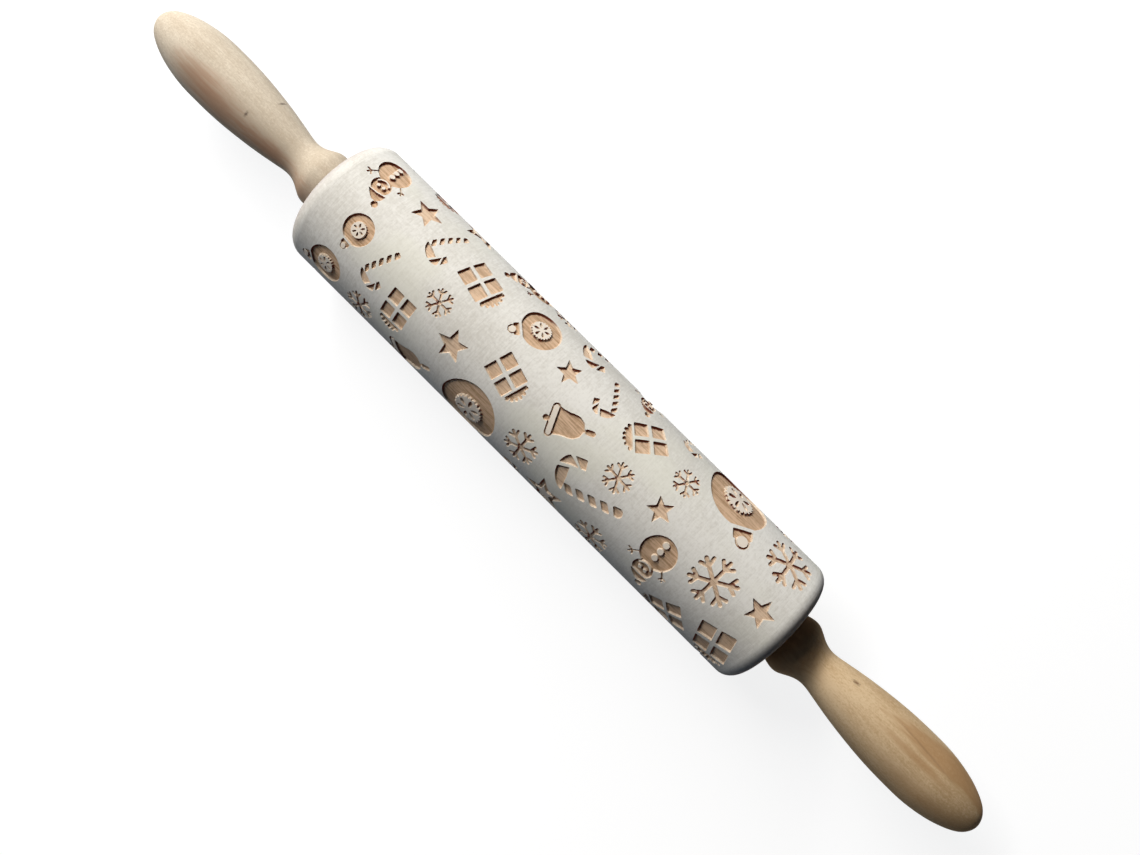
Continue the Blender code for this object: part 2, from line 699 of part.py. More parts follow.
def cage(name, side):
    """A crown cage: a ring with one radial pocket for each ball, open towards the barrel's middle."""
    start = BEARING_MIDDLE - CAGE_OPEN_REACH
    end = BEARING_MIDDLE + CAGE_BACK_REACH
    profile = [
        (start, CAGE_INNER_RADIUS),
        (start, CAGE_OUTER_RADIUS),
        (end, CAGE_OUTER_RADIUS),
        (end, CAGE_INNER_RADIUS),
    ]
    ring_band = turned(profile, BALL_COUNT * CAGE_SEGMENTS_PER_BALL)
    thing = add_object(name, mirrored(ring_band, side), CAGE_FINISH)
    pockets = bmesh.new()
    reach = CAGE_OUTER_RADIUS - CAGE_INNER_RADIUS + 2 * CUTTER_OVERRUN
    for index in range(BALL_COUNT):
        about = Matrix.Rotation(ball_angle(index), 4, "X")
        out = Matrix.Translation((side * BEARING_MIDDLE, 0, BALL_PITCH_RADIUS))
        radius = BALL_RADIUS + POCKET_CLEARANCE
        bmesh.ops.create_cone(
            pockets,
            cap_ends=True,
            segments=POCKET_SEGMENTS,
            radius1=radius,
            radius2=radius,
            depth=reach,
            matrix=about @ out,
        )
    cutter = add_object(name + "_pockets", pockets, CAGE_FINISH)
    cutter.hide_render = True
    cutter.display_type = "WIRE"
    cut = thing.modifiers.new("pockets", "BOOLEAN")
    cut.operation = "DIFFERENCE"
    cut.object = cutter
    return thing


def balls(name, side):
    """The bearing's balls, each with its origin at its own centre."""
    for index in range(BALL_COUNT):
        angle = ball_angle(index)
        centre = Vector((side * BEARING_MIDDLE, 0, BALL_PITCH_RADIUS))
        centre.rotate(Matrix.Rotation(angle, 3, "X"))
        bm = bmesh.new()
        place = Matrix.Translation(centre)
        bmesh.ops.create_icosphere(bm, subdivisions=BALL_SUBDIVISIONS, radius=BALL_RADIUS, matrix=place)
        add_object(f"{name}_{index + 1}", bm, BEARING_FINISH, centre)


def build():
    """Make the whole pin."""
    clear_scene()
    barrel()
    axle_rod()
    for label, side, finish in (("left", -1, LEFT_HANDLE_FINISH), ("right", 1, RIGHT_HANDLE_FINISH)):
        handle(f"handle_{label}", side, finish)
        handle_insert(f"handle_insert_{label}", side)
        washer(f"washer_{label}", side)
        inner_ring(f"bearing_inner_ring_{label}", side)
        outer_ring(f"bearing_outer_ring_{label}", side)
        shield(f"bearing_shield_{label}", side)
        cage(f"bearing_cage_{label}", side)
        balls(f"bearing_ball_{label}", side)


build()
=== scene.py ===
"""The looks of an engraved rolling pin, built around its packed construction.

The barrel is a smooth turned cylinder into which a sheet of winter motifs is sunk with crisp walls. The
handles, the rod, the threaded inserts and the ball bearings are turned surfaces. Every finish is worked out
from Object coordinates, and the barrel's also from numbers that its mesh stores. The pin lies along X, and
its axis stands one barrel radius above the floor.
"""

import json
import logging
import math
from dataclasses import dataclass
from enum import Enum
from typing import Any, Callable, Sequence

import bpy
import numpy as np
from mathutils import Matrix, Vector
from mathutils.geometry import delaunay_2d_cdt


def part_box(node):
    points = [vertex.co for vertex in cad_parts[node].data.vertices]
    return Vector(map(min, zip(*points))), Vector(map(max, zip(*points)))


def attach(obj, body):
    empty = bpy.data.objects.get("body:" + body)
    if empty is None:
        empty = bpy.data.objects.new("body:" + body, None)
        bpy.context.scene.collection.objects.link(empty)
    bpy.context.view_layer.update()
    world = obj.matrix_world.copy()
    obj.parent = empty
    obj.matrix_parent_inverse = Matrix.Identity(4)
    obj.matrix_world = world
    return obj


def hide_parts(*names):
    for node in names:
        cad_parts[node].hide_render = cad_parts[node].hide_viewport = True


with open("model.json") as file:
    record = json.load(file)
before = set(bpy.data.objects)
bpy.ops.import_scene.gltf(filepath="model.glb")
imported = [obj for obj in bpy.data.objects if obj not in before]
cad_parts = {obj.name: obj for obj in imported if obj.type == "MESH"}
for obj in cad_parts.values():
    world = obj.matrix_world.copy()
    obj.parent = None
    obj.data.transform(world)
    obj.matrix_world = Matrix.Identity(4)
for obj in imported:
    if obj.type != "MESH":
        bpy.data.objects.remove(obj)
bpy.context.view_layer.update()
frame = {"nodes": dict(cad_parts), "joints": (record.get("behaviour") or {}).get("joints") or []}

LOG = logging.getLogger("rolling_pin")
Array = np.ndarray
Triple = tuple[float, float, float]
Material = bpy.types.Material
MM = 0.001


class Side(Enum):
    """The two ends of the pin, by the sign of X."""

    LEFT = -1
    RIGHT = 1

    @property
    def label(self) -> str:
        """The end's name in the names of nodes and bodies."""
        return self.name.lower()


class MotifKind(Enum):
    """The figures of the engraved pattern."""

    STAR = "star"
    FRAMED_STAR = "framed_star"
    GIFT = "gift"
    CANE = "cane"
    CANE_MIRRORED = "cane_mirrored"
    BAUBLE = "bauble"
    SNOWFLAKE = "snowflake"
    BELL = "bell"
    SNOWMAN = "snowman"


@dataclass(frozen=True)
class PinFrame:
    """Places that every piece shares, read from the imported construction, in metres.

    The barrel's radius is the height of its axis, so that the round barrel touches the floor.
    """

    axis_height: float
    barrel_end: float
    handle_start: float

    @classmethod
    def read(cls) -> "PinFrame":
        """Read the places from the frame.

        Returns:
            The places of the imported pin.
        """
        spin = next(joint for joint in frame["joints"] if joint["name"] == "barrel_spin")
        return cls(spin["pos_m"][2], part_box("barrel")[1].x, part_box("handle_right")[0].x)


PIN = PinFrame.read()


# Shader graphs


class Value:
    """An output socket that can be used in Python expressions."""

    def __init__(self, graph: "Graph", socket: bpy.types.NodeSocket) -> None:
        """Keep the socket and the graph that makes its Math nodes."""
        self.graph = graph
        self.socket = socket

    def __add__(self, other: Any) -> "Value":
        """Sum."""
        return self.graph.math("ADD", self, other)

    __radd__ = __add__

    def __sub__(self, other: Any) -> "Value":
        """Difference."""
        return self.graph.math("SUBTRACT", self, other)

    def __rsub__(self, other: Any) -> "Value":
        """Difference from a number."""
        return self.graph.math("SUBTRACT", other, self)

    def __mul__(self, other: Any) -> "Value":
        """Product."""
        return self.graph.math("MULTIPLY", self, other)

    __rmul__ = __mul__

    def __truediv__(self, other: Any) -> "Value":
        """Quotient."""
        return self.graph.math("DIVIDE", self, other)

    def __rtruediv__(self, other: Any) -> "Value":
        """A number divided by the value."""
        return self.graph.math("DIVIDE", other, self)


class Graph:
    """One material's nodes, made by expressions."""

    def __init__(self, name: str) -> None:
        """Make an empty material with a Principled BSDF.

        Args:
            name: Its name.
        """
        self.material = bpy.data.materials.new(name)
        self.material.use_nodes = True
        self.tree = self.material.node_tree
        self.shader = self.tree.nodes["Principled BSDF"]
        self.output = self.tree.nodes["Material Output"]

    @classmethod
    def of_tree(cls, tree: bpy.types.NodeTree) -> "Graph":
        """A graph on the nodes of a world instead of a material.

        Args:
            tree: The world's nodes.

        Returns:
            The graph.
        """
        made = cls.__new__(cls)
        made.tree = tree
        return made

    def put(self, value: Any, socket: bpy.types.NodeSocket) -> None:
        """Link a value to an input, or set a number or colour on it.

        Args:
            value: A Value, a number, or three or four numbers.
            socket: The input.
        """
        if isinstance(value, Value):
            self.tree.links.new(value.socket, socket)
        elif isinstance(value, (tuple, list)) and len(value) == 3 and socket.type == "RGBA":
            socket.default_value = (*value, 1.0)
        else:
            socket.default_value = value

    def node(self, kind: str, settings: dict[str, Any], inputs: dict[Any, Any]) -> bpy.types.Node:
        """Add a node.

        Args:
            kind: The node's type.
            settings: Properties, which are set first.
            inputs: Values or links by the name or number of the socket.

        Returns:
            The node.
        """
        made = self.tree.nodes.new(kind)
        for name, setting in settings.items():
            setattr(made, name, setting)
        for name, value in inputs.items():
            self.put(value, made.inputs[name])
        return made

    def value(self, kind: str, settings: dict[str, Any], inputs: dict[Any, Any], output: Any = 0) -> Value:
        """One output of a new node, by its name or number."""
        return Value(self, self.node(kind, settings, inputs).outputs[output])

    def math(self, operation: str, *values: Any) -> Value:
        """One Math node on values or numbers."""
        return self.value("ShaderNodeMath", {"operation": operation}, dict(enumerate(values)))

    def length(self, first: Value, second: Value) -> Value:
        """The root of the sum of two squares."""
        return self.math("SQRT", first * first + second * second)

    def vector(self, x: Any, y: Any, z: Any) -> Value:
        """Three values as one vector."""
        return self.value("ShaderNodeCombineXYZ", {}, {"X": x, "Y": y, "Z": z})

    def place(self) -> Value:
        """Object coordinates in metres."""
        return self.value("ShaderNodeTexCoord", {}, {}, "Object")

    def millimetres(self) -> tuple[Value, Value, Value]:
        """Object coordinates about the pin's axis.

        Returns:
            x, y and z in millimetres, with z measured from the axis.
        """
        split = self.node("ShaderNodeSeparateXYZ", {}, {0: self.place()})
        x, y, z = (Value(self, output) for output in split.outputs)
        return x * (1 / MM), y * (1 / MM), (z - PIN.axis_height) * (1 / MM)

    def stretched(self, place: Sequence[Any], along: float, across: float) -> Value:
        """A place in units that are long along X and wide across it."""
        return self.vector(place[0] / along, place[1] / across, place[2] / across)

    def noise(self, place: Value, detail: float = 2.0, roughness: float = 0.5) -> Value:
        """Noise between 0 and 1, with features about one unit of the place wide."""
        inputs = {"Vector": place, "Scale": 1.0, "Detail": detail, "Roughness": roughness}
        return self.value("ShaderNodeTexNoise", {}, inputs, "Fac")

    def grain(self, place: Sequence[Any], along: float, across: float, *shape: float) -> Value:
        """Noise of a detail and roughness, with features so long along X and so wide across it."""
        return self.noise(self.stretched(place, along, across), *shape)

    def spots(self, place: Value, edge: tuple[float, float], chance: tuple[float, float]) -> Value:
        """Scattered spots.

        Args:
            place: Coordinates, with about one point in each unit.
            edge: The distances from a point at which its spot fades out and is full.
            chance: The point's random value from which its spot starts to show, and from which it is full.

        Returns:
            1 in the spots and 0 between them.
        """
        made = self.node("ShaderNodeTexVoronoi", {}, {"Vector": place, "Scale": 1.0, "Randomness": 1.0})
        lot = self.value("ShaderNodeSeparateColor", {}, {0: Value(self, made.outputs["Color"])})
        return self.step(Value(self, made.outputs["Distance"]), *edge) * self.step(lot, *chance)

    def step(self, value: Any, low: float, high: float) -> Value:
        """A soft step: 0 below low, 1 above high; low may be the larger one for a falling step."""
        settings = {"interpolation_type": "SMOOTHSTEP", "clamp": True}
        return self.value("ShaderNodeMapRange", settings, {0: value, 1: low, 2: high})

    def mix(self, factor: Any, first: Any, second: Any) -> Value:
        """Two colours mixed by a factor."""
        settings = {"data_type": "RGBA", "clamp_factor": True}
        return self.value("ShaderNodeMix", settings, {0: factor, 6: first, 7: second}, 2)

    def attribute(self, name: str) -> Value:
        """A number stored on the mesh's points."""
        return self.value("ShaderNodeAttribute", {"attribute_name": name}, {}, "Fac")

    def bump(self, height: Value, distance: float, strength: float) -> Value:
        """A normal that follows a height between 0 and 1, which stands for a distance in metres."""
        inputs = {"Strength": strength, "Distance": distance, "Height": height}
        return self.value("ShaderNodeBump", {}, inputs, "Normal")

    def finish(self, **inputs: Any) -> Material:
        """Feed the Principled BSDF.

        Args:
            inputs: Values by socket name, with _ for a space.

        Returns:
            The finished material.
        """
        for name, value in inputs.items():
            self.put(value, self.shader.inputs[name.replace("_", " ").title().replace("Ior", "IOR")])
        return self.material


# Finishes


@dataclass(frozen=True)
class BarrelWood:
    """Pale sanded wood whose engraved recesses are toasted brown.

    Colours are linear. The grain runs along X, so streaks are long there and fine across. The mesh stores
    how deep each point is sunk, as a share of its recess, which points top an island inside a recess, how
    pale the recess is burnt, and how charred and shaded its side is: on the side of each recess nearest the
    key lamp the charring is partly a real burn and partly painted shade and shadow.
    """

    name: str = "barrel_wood"
    surface: Triple = (0.85, 0.82, 0.755)
    shade: Triple = (0.68, 0.645, 0.575)
    tinge: Triple = (0.80, 0.78, 0.66)
    fleck: Triple = (0.42, 0.38, 0.33)
    end_grain_and_shade: Triple = (0.60, 0.55, 0.51)
    island: Triple = (0.87, 0.79, 0.68)
    floor: Triple = (0.69, 0.475, 0.31)
    floor_streak: Triple = (0.415, 0.26, 0.148)
    pale_floor: Triple = (0.81, 0.61, 0.435)
    pale_streak: Triple = (0.565, 0.39, 0.26)
    wall: Triple = (0.72, 0.615, 0.485)
    wall_streak: Triple = (0.56, 0.42, 0.30)
    # partly a real burn, partly painted shade and shadow on the recess side nearest the key lamp
    char: Triple = (0.155, 0.028, 0.010)
    # where along X, from the middle, the shoulder's end grain and painted shade start and where they are full
    end_grain_and_shade_reach: tuple[float, float] = (111.5, 117.0)
    roughness: float = 0.75

    def build(self) -> Material:
        """Make the material.

        Returns:
            The material.
        """
        graph = Graph(self.name)
        place = x, y, z = graph.millimetres()
        depth = graph.attribute("depth")
        sunk = graph.step(depth, 0.01, 0.09)
        bottom = graph.step(depth, 0.90, 0.995)

        clouds = graph.grain(place, 60, 16, 3.0)
        drift = graph.noise(graph.vector(x / 45 + 8, y / 28, z / 28))
        fibres = graph.grain(place, 7, 0.5, 3.0, 0.6)
        long_fibres = graph.grain(place, 26, 1.2)
        turning = graph.grain(place, 0.5, 7, 3.0, 0.7)
        mottle = graph.grain(place, 1.1, 1.6, 3.0, 0.75)
        pores = graph.spots(graph.stretched(place, 2.6, 0.5), (0.26, 0.12), (0.74, 0.82))
        specks = graph.spots(graph.stretched(place, 11, 11), (0.036, 0.02), (0.40, 0.45))
        line = graph.step(long_fibres, 0.60, 0.74) * graph.step(clouds, 0.42, 0.60)

        tone = clouds * 0.55 + fibres * 0.20 + turning * 0.42 + mottle * 0.55
        surface = graph.mix(graph.step(tone, 0.69, 1.05), self.surface, self.shade)
        surface = graph.mix(graph.step(drift, 0.48, 0.66) * 0.5, surface, self.tinge)
        surface = graph.mix(line * 0.12 + pores * 0.20, surface, self.fleck)
        surface = graph.mix(specks * 0.8, surface, self.fleck)
        # the shoulders darken towards the ends: partly real end grain, partly painted shade
        across_grain_and_shade = graph.step(graph.math("ABSOLUTE", x, 0.0) + (mottle - 0.5) * 2, *self.end_grain_and_shade_reach)
        surface = graph.mix(across_grain_and_shade, surface, graph.mix(mottle * 0.3, self.end_grain_and_shade, self.fleck))
        island = graph.mix(fibres * 0.25, self.island, self.floor)
        surface = graph.mix(graph.attribute("island"), surface, island)

        streaks = graph.step(fibres * 0.8 + long_fibres * 0.4 + (mottle - 0.5) * 0.25, 0.48, 0.76)
        ground = graph.mix(streaks, self.floor, self.floor_streak)
        pale_ground = graph.mix(streaks, self.pale_floor, self.pale_streak)
        ground = graph.mix(graph.attribute("pale"), ground, pale_ground)
        side = graph.mix(streaks, self.wall, self.wall_streak)
        cut = graph.mix(bottom, side, ground)
        # the charred side is also painted shade and shadow: the side of each recess nearest the key lamp
        char_and_shade_mask = graph.step(graph.attribute("char") + (mottle - 0.5) * 0.3, 0.14, 0.56)
        cut = graph.mix(char_and_shade_mask * 0.95, cut, self.char)
        colour = graph.mix(sunk, surface, cut)

        roughness = self.roughness + fibres * 0.08 + sunk * 0.08
        relief = fibres * 0.4 + turning * 0.35 + mottle * 0.3 - pores * 0.5
        deep_relief = (fibres + long_fibres) * 0.8
        normal = graph.bump(relief + sunk * deep_relief, 0.045 * MM, 0.6)
        return graph.finish(base_color=colour, roughness=roughness, normal=normal, specular_ior_level=0.12)


@dataclass(frozen=True)
class Streak:
    """A stain, painted shadow or small mark in a handle: where it lies, its half sizes and its strength.

    Places and lengths are in millimetres along X and in degrees around the axis. The slant is in degrees for
    each millimetre, and the softness is the share of its size over which the stain fades.
    """

    x: float
    degrees: float
    half_length: float
    half_width: float
    strength: float
    slant: float = 0.0
    softness: float = 0.9


@dataclass(frozen=True)
class HandleWood:
    """Sanded wood of one handle, with its own colours, stains and small dark marks, a painted shade along X
    and a painted shadow.
    """

    name: str
    light: Triple
    shade: Triple
    stain_and_shadow: Triple
    mark: Triple
    stains_and_shadows: tuple[Streak, ...]
    marks: tuple[Streak, ...]
    # where along X the darker tone, a painted shade, starts and where it is full
    fade: tuple[float, float]
    roughness: float = 0.68

    def build(self) -> Material:
        """Make the material.

        Returns:
            The material.
        """
        graph = Graph(self.name)
        place = x, y, z = graph.millimetres()
        angle = graph.math("ARCTAN2", y, z) * (180 / math.pi)
        clouds = graph.grain(place, 26, 8, 3.0)
        fibres = graph.grain(place, 5, 0.45, 3.0, 0.6)
        long_fibres = graph.grain(place, 22, 1.4)
        mottle = graph.grain(place, 0.9, 0.7, 2.0, 0.7)
        pores = graph.spots(graph.stretched(place, 1.6, 0.42), (0.32, 0.12), (0.55, 0.68))

        tone = clouds * 0.5 + long_fibres * 0.25 + fibres * 0.4 + mottle * 0.55
        # painted shade: darker along X between the two places of the fade
        tone = tone + graph.step(x, *self.fade) * 0.14
        colour = graph.mix(graph.step(tone, 0.66, 1.14), self.light, self.shade)
        ragged = (long_fibres - 0.5) * 0.7 + (clouds - 0.5) * 0.6 + (mottle - 0.5) * 0.35
        # stains, among them the barrel's painted shadow on the right handle's bead
        for streak in self.stains_and_shadows:
            near = self.nearness(graph, x, angle, streak, ragged)
            colour = graph.mix(near * streak.strength, colour, self.stain_and_shadow)
        colour = graph.mix(pores * 0.28, colour, self.stain_and_shadow)
        for streak in self.marks:
            near = self.nearness(graph, x, angle, streak, (mottle - 0.5) * 1.4)
            colour = graph.mix(near * streak.strength, colour, self.mark)
        roughness = self.roughness + fibres * 0.12
        height = fibres * 0.5 + mottle * 0.4 - pores * 0.6
        normal = graph.bump(height, 0.05 * MM, 0.6)
        return graph.finish(base_color=colour, roughness=roughness, normal=normal, specular_ior_level=0.15)

    @staticmethod
    def nearness(graph: Graph, x: Value, angle: Value, streak: Streak, ragged: Value) -> Value:
        """How far a point is inside a stain or painted shadow.

        Args:
            graph: The material's graph.
            x: Place along the pin in millimetres.
            angle: Degrees around it.
            streak: The stain or painted shadow.
            ragged: What makes the stain's edge uneven.

        Returns:
            1 at the stain's middle, falling to 0 at its edge.
        """
        offset = x - streak.x
        along = offset / streak.half_length
        around = (angle - streak.degrees - offset * streak.slant) / streak.half_width
        distance = graph.length(along, around) + ragged
        return graph.step(distance, 1.0, 1.0 - streak.softness)


@dataclass(frozen=True)
class TurnedMetal:
    """Turned or ground metal, with fine rings around the axis and a little tarnish."""

    name: str
    colour: Triple
    tarnish: Triple
    roughness: float
    ring_width: float = 0.12

    def build(self) -> Material:
        """Make the material.

        Returns:
            The material.
        """
        graph = Graph(self.name)
        place = x, y, z = graph.millimetres()
        lines = graph.grain((x, graph.length(y, z), 0.0), self.ring_width, self.ring_width, 2.0)
        clouds = graph.grain(place, 5, 5, 3.0)
        colour = graph.mix(graph.step(clouds + lines * 0.3, 0.55, 1.0), self.colour, self.tarnish)
        roughness = self.roughness + lines * 0.14 + clouds * 0.08
        normal = graph.bump(lines, 0.004 * MM, 0.5)
        return graph.finish(base_color=colour, metallic=1.0, roughness=roughness, normal=normal)


LEFT_HANDLE_WOOD = HandleWood(
    name="handle_wood_pale",
    light=(0.735, 0.645, 0.515),
    shade=(0.54, 0.445, 0.33),
    stain_and_shadow=(0.40, 0.225, 0.135),
    mark=(0.08, 0.05, 0.04),
    stains_and_shadows=(
        Streak(-186.0, -32.0, 17.0, 34.0, 0.6),
        Streak(-171.0, -40.0, 30.0, 50.0, 0.8, -0.3),
        Streak(-146.0, -46.0, 24.0, 44.0, 0.85),
        Streak(-127.0, -56.0, 10.0, 50.0, 0.6),
    ),
    marks=(Streak(-160.2, -15.0, 0.9, 9.0, 0.8), Streak(-155.6, 59.0, 0.8, 15.0, 0.75, 5.0)),
    fade=(-236.0, -152.0),
)
RIGHT_HANDLE_WOOD = HandleWood(
    name="handle_wood_tan",
    light=(0.775, 0.575, 0.35),
    shade=(0.56, 0.365, 0.185),
    stain_and_shadow=(0.46, 0.25, 0.105),
    mark=(0.20, 0.10, 0.045),
    stains_and_shadows=(
        Streak(203.0, 50.0, 41.0, 27.0, 0.68, 0.44, 0.3),
        Streak(181.0, 8.0, 20.0, 10.0, 0.6, 0.0, 0.8),
        Streak(192.0, -34.0, 32.0, 24.0, 0.4),
        # painted shadow: the barrel's shadow, darkening the whole bead next to the barrel
        Streak(118.0, 0.0, 22.0, 400.0, 0.9),
    ),
    marks=(Streak(148.6, 38.0, 2.2, 7.0, 0.85), Streak(181.0, 28.6, 19.0, 3.0, 0.3, -0.47)),
    fade=(150.0, 216.0),
)
STEEL = TurnedMetal("steel", (0.56, 0.57, 0.58), (0.42, 0.41, 0.40), 0.28)
BEARING_STEEL = TurnedMetal("bearing_steel", (0.66, 0.67, 0.68), (0.52, 0.52, 0.53), 0.14, 0.06)
CAGE_STEEL = TurnedMetal("cage_steel", (0.50, 0.47, 0.42), (0.36, 0.33, 0.28), 0.34, 0.2)
BRASS = TurnedMetal("brass", (0.78, 0.56, 0.24), (0.55, 0.36, 0.14), 0.3)


# Meshes


def add_piece(
    name: str, points: Array, faces: list[Any], material: Material, sharp_degrees: float = 35.0
) -> bpy.types.Object:
    """Put a surface into the scene, with its place in its mesh.

    Args:
        name: The piece's name.
        points: Its points about the pin's axis, in metres.
        faces: Tuples of point numbers.
        material: Its finish.
        sharp_degrees: Edges bent by more than this are sharp.

    Returns:
        The new object.
    """
    mesh = bpy.data.meshes.new(name)
    mesh.from_pydata((points + (0.0, 0.0, PIN.axis_height)).tolist(), [], faces)
    mesh.update()
    mesh.materials.append(material)
    mesh.shade_smooth()
    mesh.set_sharp_from_angle(angle=math.radians(sharp_degrees))
    piece = bpy.data.objects.new(name, mesh)
    bpy.context.scene.collection.objects.link(piece)
    return piece


def dress(piece: bpy.types.Object, body: str, slot: str, *nodes: str) -> None:
    """Tie a new piece to the construction.

    Args:
        piece: The piece.
        body: The body that it moves with.
        slot: Not used.
        nodes: The nodes that it stands for.
    """
    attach(piece, body)
    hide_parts(*nodes)
    LOG.info("%s: %d faces on %s", piece.name, len(piece.data.polygons), body)


def store(piece: bpy.types.Object, name: str, numbers: Array) -> None:
    """Store one number for each point of a piece."""
    layer = piece.data.attributes.new(name, "FLOAT", "POINT")
    layer.data.foreach_set("value", numbers.astype(np.float32))


def plain_rings(profile: Sequence[Sequence[float]], segments: int) -> Array:
    """Turn a profile about the axis: point i at angle a is (x_i, r_i sin a, r_i cos a).

    Args:
        profile: Rows of x and radius.
        segments: Steps around the axis.

    Returns:
        Points by ring and place around it.
    """
    rows = np.array(profile)
    angles = np.arange(segments) * (2 * math.pi / segments)
    x, radius = np.repeat(rows[:, :1], segments, 1), rows[:, 1]
    return np.stack([x, np.outer(radius, np.sin(angles)), np.outer(radius, np.cos(angles))], -1)


def turned(profile: Array, segments: int, closed: bool) -> tuple[Array, list[Any]]:
    """The surface of a turned profile, in which a profile point on the axis becomes one pole."""
    return joined_rings(plain_rings(profile, segments), profile[:, 1] == 0, closed)


def joined_rings(rings: Array, poles: Array, closed: bool) -> tuple[Array, list[Any]]:
    """Join rings of points into one surface, turned outwards by the sign of the volume that it encloses.

    Args:
        rings: Points by ring and place around it.
        poles: Which rings are a single point.
        closed: Whether the last ring joins the first.

    Returns:
        Points and faces.
    """
    count, segments = rings.shape[:2]
    starts = np.concatenate([[0], np.cumsum(np.where(poles, 1, segments))])
    numbers = starts[:-1, None] + np.where(poles[:, None], 0, np.arange(segments))
    points = np.concatenate([ring[:1] if pole else ring for ring, pole in zip(rings, poles)])
    low = numbers if closed else numbers[:-1]
    high = np.roll(numbers, -1, 0) if closed else numbers[1:]
    quads = np.stack([low, high, np.roll(high, -1, 1), np.roll(low, -1, 1)], -1).reshape(-1, 4)
    flat_low, flat_high = quads[:, 0] == quads[:, 3], quads[:, 1] == quads[:, 2]
    full = quads[~flat_low & ~flat_high]
    at_low, at_high = quads[flat_low & ~flat_high][:, :3], quads[flat_high & ~flat_low][:, [0, 1, 3]]
    triangles = np.concatenate([full[:, :3], full[:, [0, 2, 3]], at_low, at_high])
    corners = points[triangles]
    volume = np.einsum("ij,ij->", corners[:, 0], np.cross(corners[:, 1], corners[:, 2]))
    turn = 1 if volume > 0 else -1
    return points, [tuple(face[::turn]) for part in (full, at_low, at_high) for face in part.tolist()]


def smooth_curve(points: Array, steps: int, round_end: bool = False) -> Array:
    """A smooth curve through points: on each span a cubic whose end slopes follow the neighbours.

    Args:
        points: Rows of numbers.
        steps: Steps on each span.
        round_end: Whether the curve's last point mirrors the one before it in radius, as at a rounded tip.

    Returns:
        The denser rows.
    """
    after = points[-2] * (1, -1) if round_end else points[-1]
    padded = np.vstack([points[:1], points, after[None]])
    t = (np.arange(steps) / steps)[None, :, None]
    before, start, end, later = (padded[i : i + len(points) - 1, None] for i in range(4))
    slope_in, slope_out = (end - before) / 2, (later - start) / 2
    square = 3 * (end - start) - 2 * slope_in - slope_out
    cube = slope_in + slope_out - 2 * (end - start)
    curve = start + t * slope_in + t**2 * square + t**3 * cube
    return np.vstack([curve.reshape(-1, points.shape[1]), points[-1:]])


def rounded(points: Array, radius: float, steps: int = 3) -> Array:
    """A closed outline whose corners are rounded by a quadratic curve.

    Args:
        points: The corners.
        radius: How far from its corner each curve starts.
        steps: Steps on each curve.

    Returns:
        The outline.
    """
    to_last, to_next = np.roll(points, 1, 0) - points, np.roll(points, -1, 0) - points
    first = np.linalg.norm(to_last, axis=1, keepdims=True)
    second = np.linalg.norm(to_next, axis=1, keepdims=True)
    start = points + to_last / first * np.minimum(radius, first * 0.45)
    end = points + to_next / second * np.minimum(radius, second * 0.45)
    t = np.linspace(0, 1, steps + 1)[None, :, None]
    curves = (1 - t) ** 2 * start[:, None] + 2 * t * (1 - t) * points[:, None] + t**2 * end[:, None]
    return curves.reshape(-1, 2)


# The engraved pattern


@dataclass(frozen=True)
class Outline:
    """A closed outline in shares of a motif's size, sunk into the barrel or left standing in a sunk one.

    Its floor may be burnt less than the others, which makes it paler, and sunk to a share of the full depth.
    """

    points: Array
    sunk: bool = True
    pale: float = 0.0
    deep: float = 1.0


@dataclass(frozen=True)
class Pen:
    """Draws outlines with steps that suit the motif's real size in millimetres."""

    size: float
    step: float = 0.42

    def disc(self, across: float, along: float, radius: float, sunk: bool = True) -> Outline:
        """A round outline: middle + radius (cos a, sin a).

        Args:
            across: Its middle across the motif.
            along: Its middle along the motif.
            radius: Its radius.
            sunk: Whether it is sunk.

        Returns:
            The outline.
        """
        count = max(10, round(2 * math.pi * radius * self.size / self.step))
        angles = np.arange(count) * (2 * math.pi / count)
        return Outline(np.stack([across + radius * np.cos(angles), along + radius * np.sin(angles)], 1), sunk)

    def bar(self, start: Sequence[float], end: Sequence[float], width: float, sunk: bool = True) -> Outline:
        """A straight bar with round ends: half a circle about each end, joined by straight sides.

        Args:
            start: Middle of its first end's circle.
            end: Middle of its other end's circle.
            width: Its width.
            sunk: Whether it is sunk.

        Returns:
            The outline.
        """
        start, end = np.array(start), np.array(end)
        heading = math.atan2(*(end - start)[::-1])
        count = max(4, round(math.pi * width / 2 * self.size / self.step))
        sweep = np.linspace(-math.pi / 2, math.pi / 2, count + 1)
        caps = [
            middle + width / 2 * np.stack([np.cos(sweep + turn), np.sin(sweep + turn)], 1)
            for middle, turn in ((end, heading), (start, heading + math.pi))
        ]
        return Outline(np.vstack(caps), sunk)

    def polygon(self, points: Sequence[Sequence[float]], radius: float, sunk: bool = True) -> Outline:
        """A polygon with rounded corners."""
        return Outline(rounded(np.array(points), radius), sunk)


def turn_matrix(angle: float) -> Array:
    """A matrix that turns rows anticlockwise by an angle in radians, and a column clockwise."""
    return np.array([[math.cos(angle), math.sin(angle)], [-math.sin(angle), math.cos(angle)]])


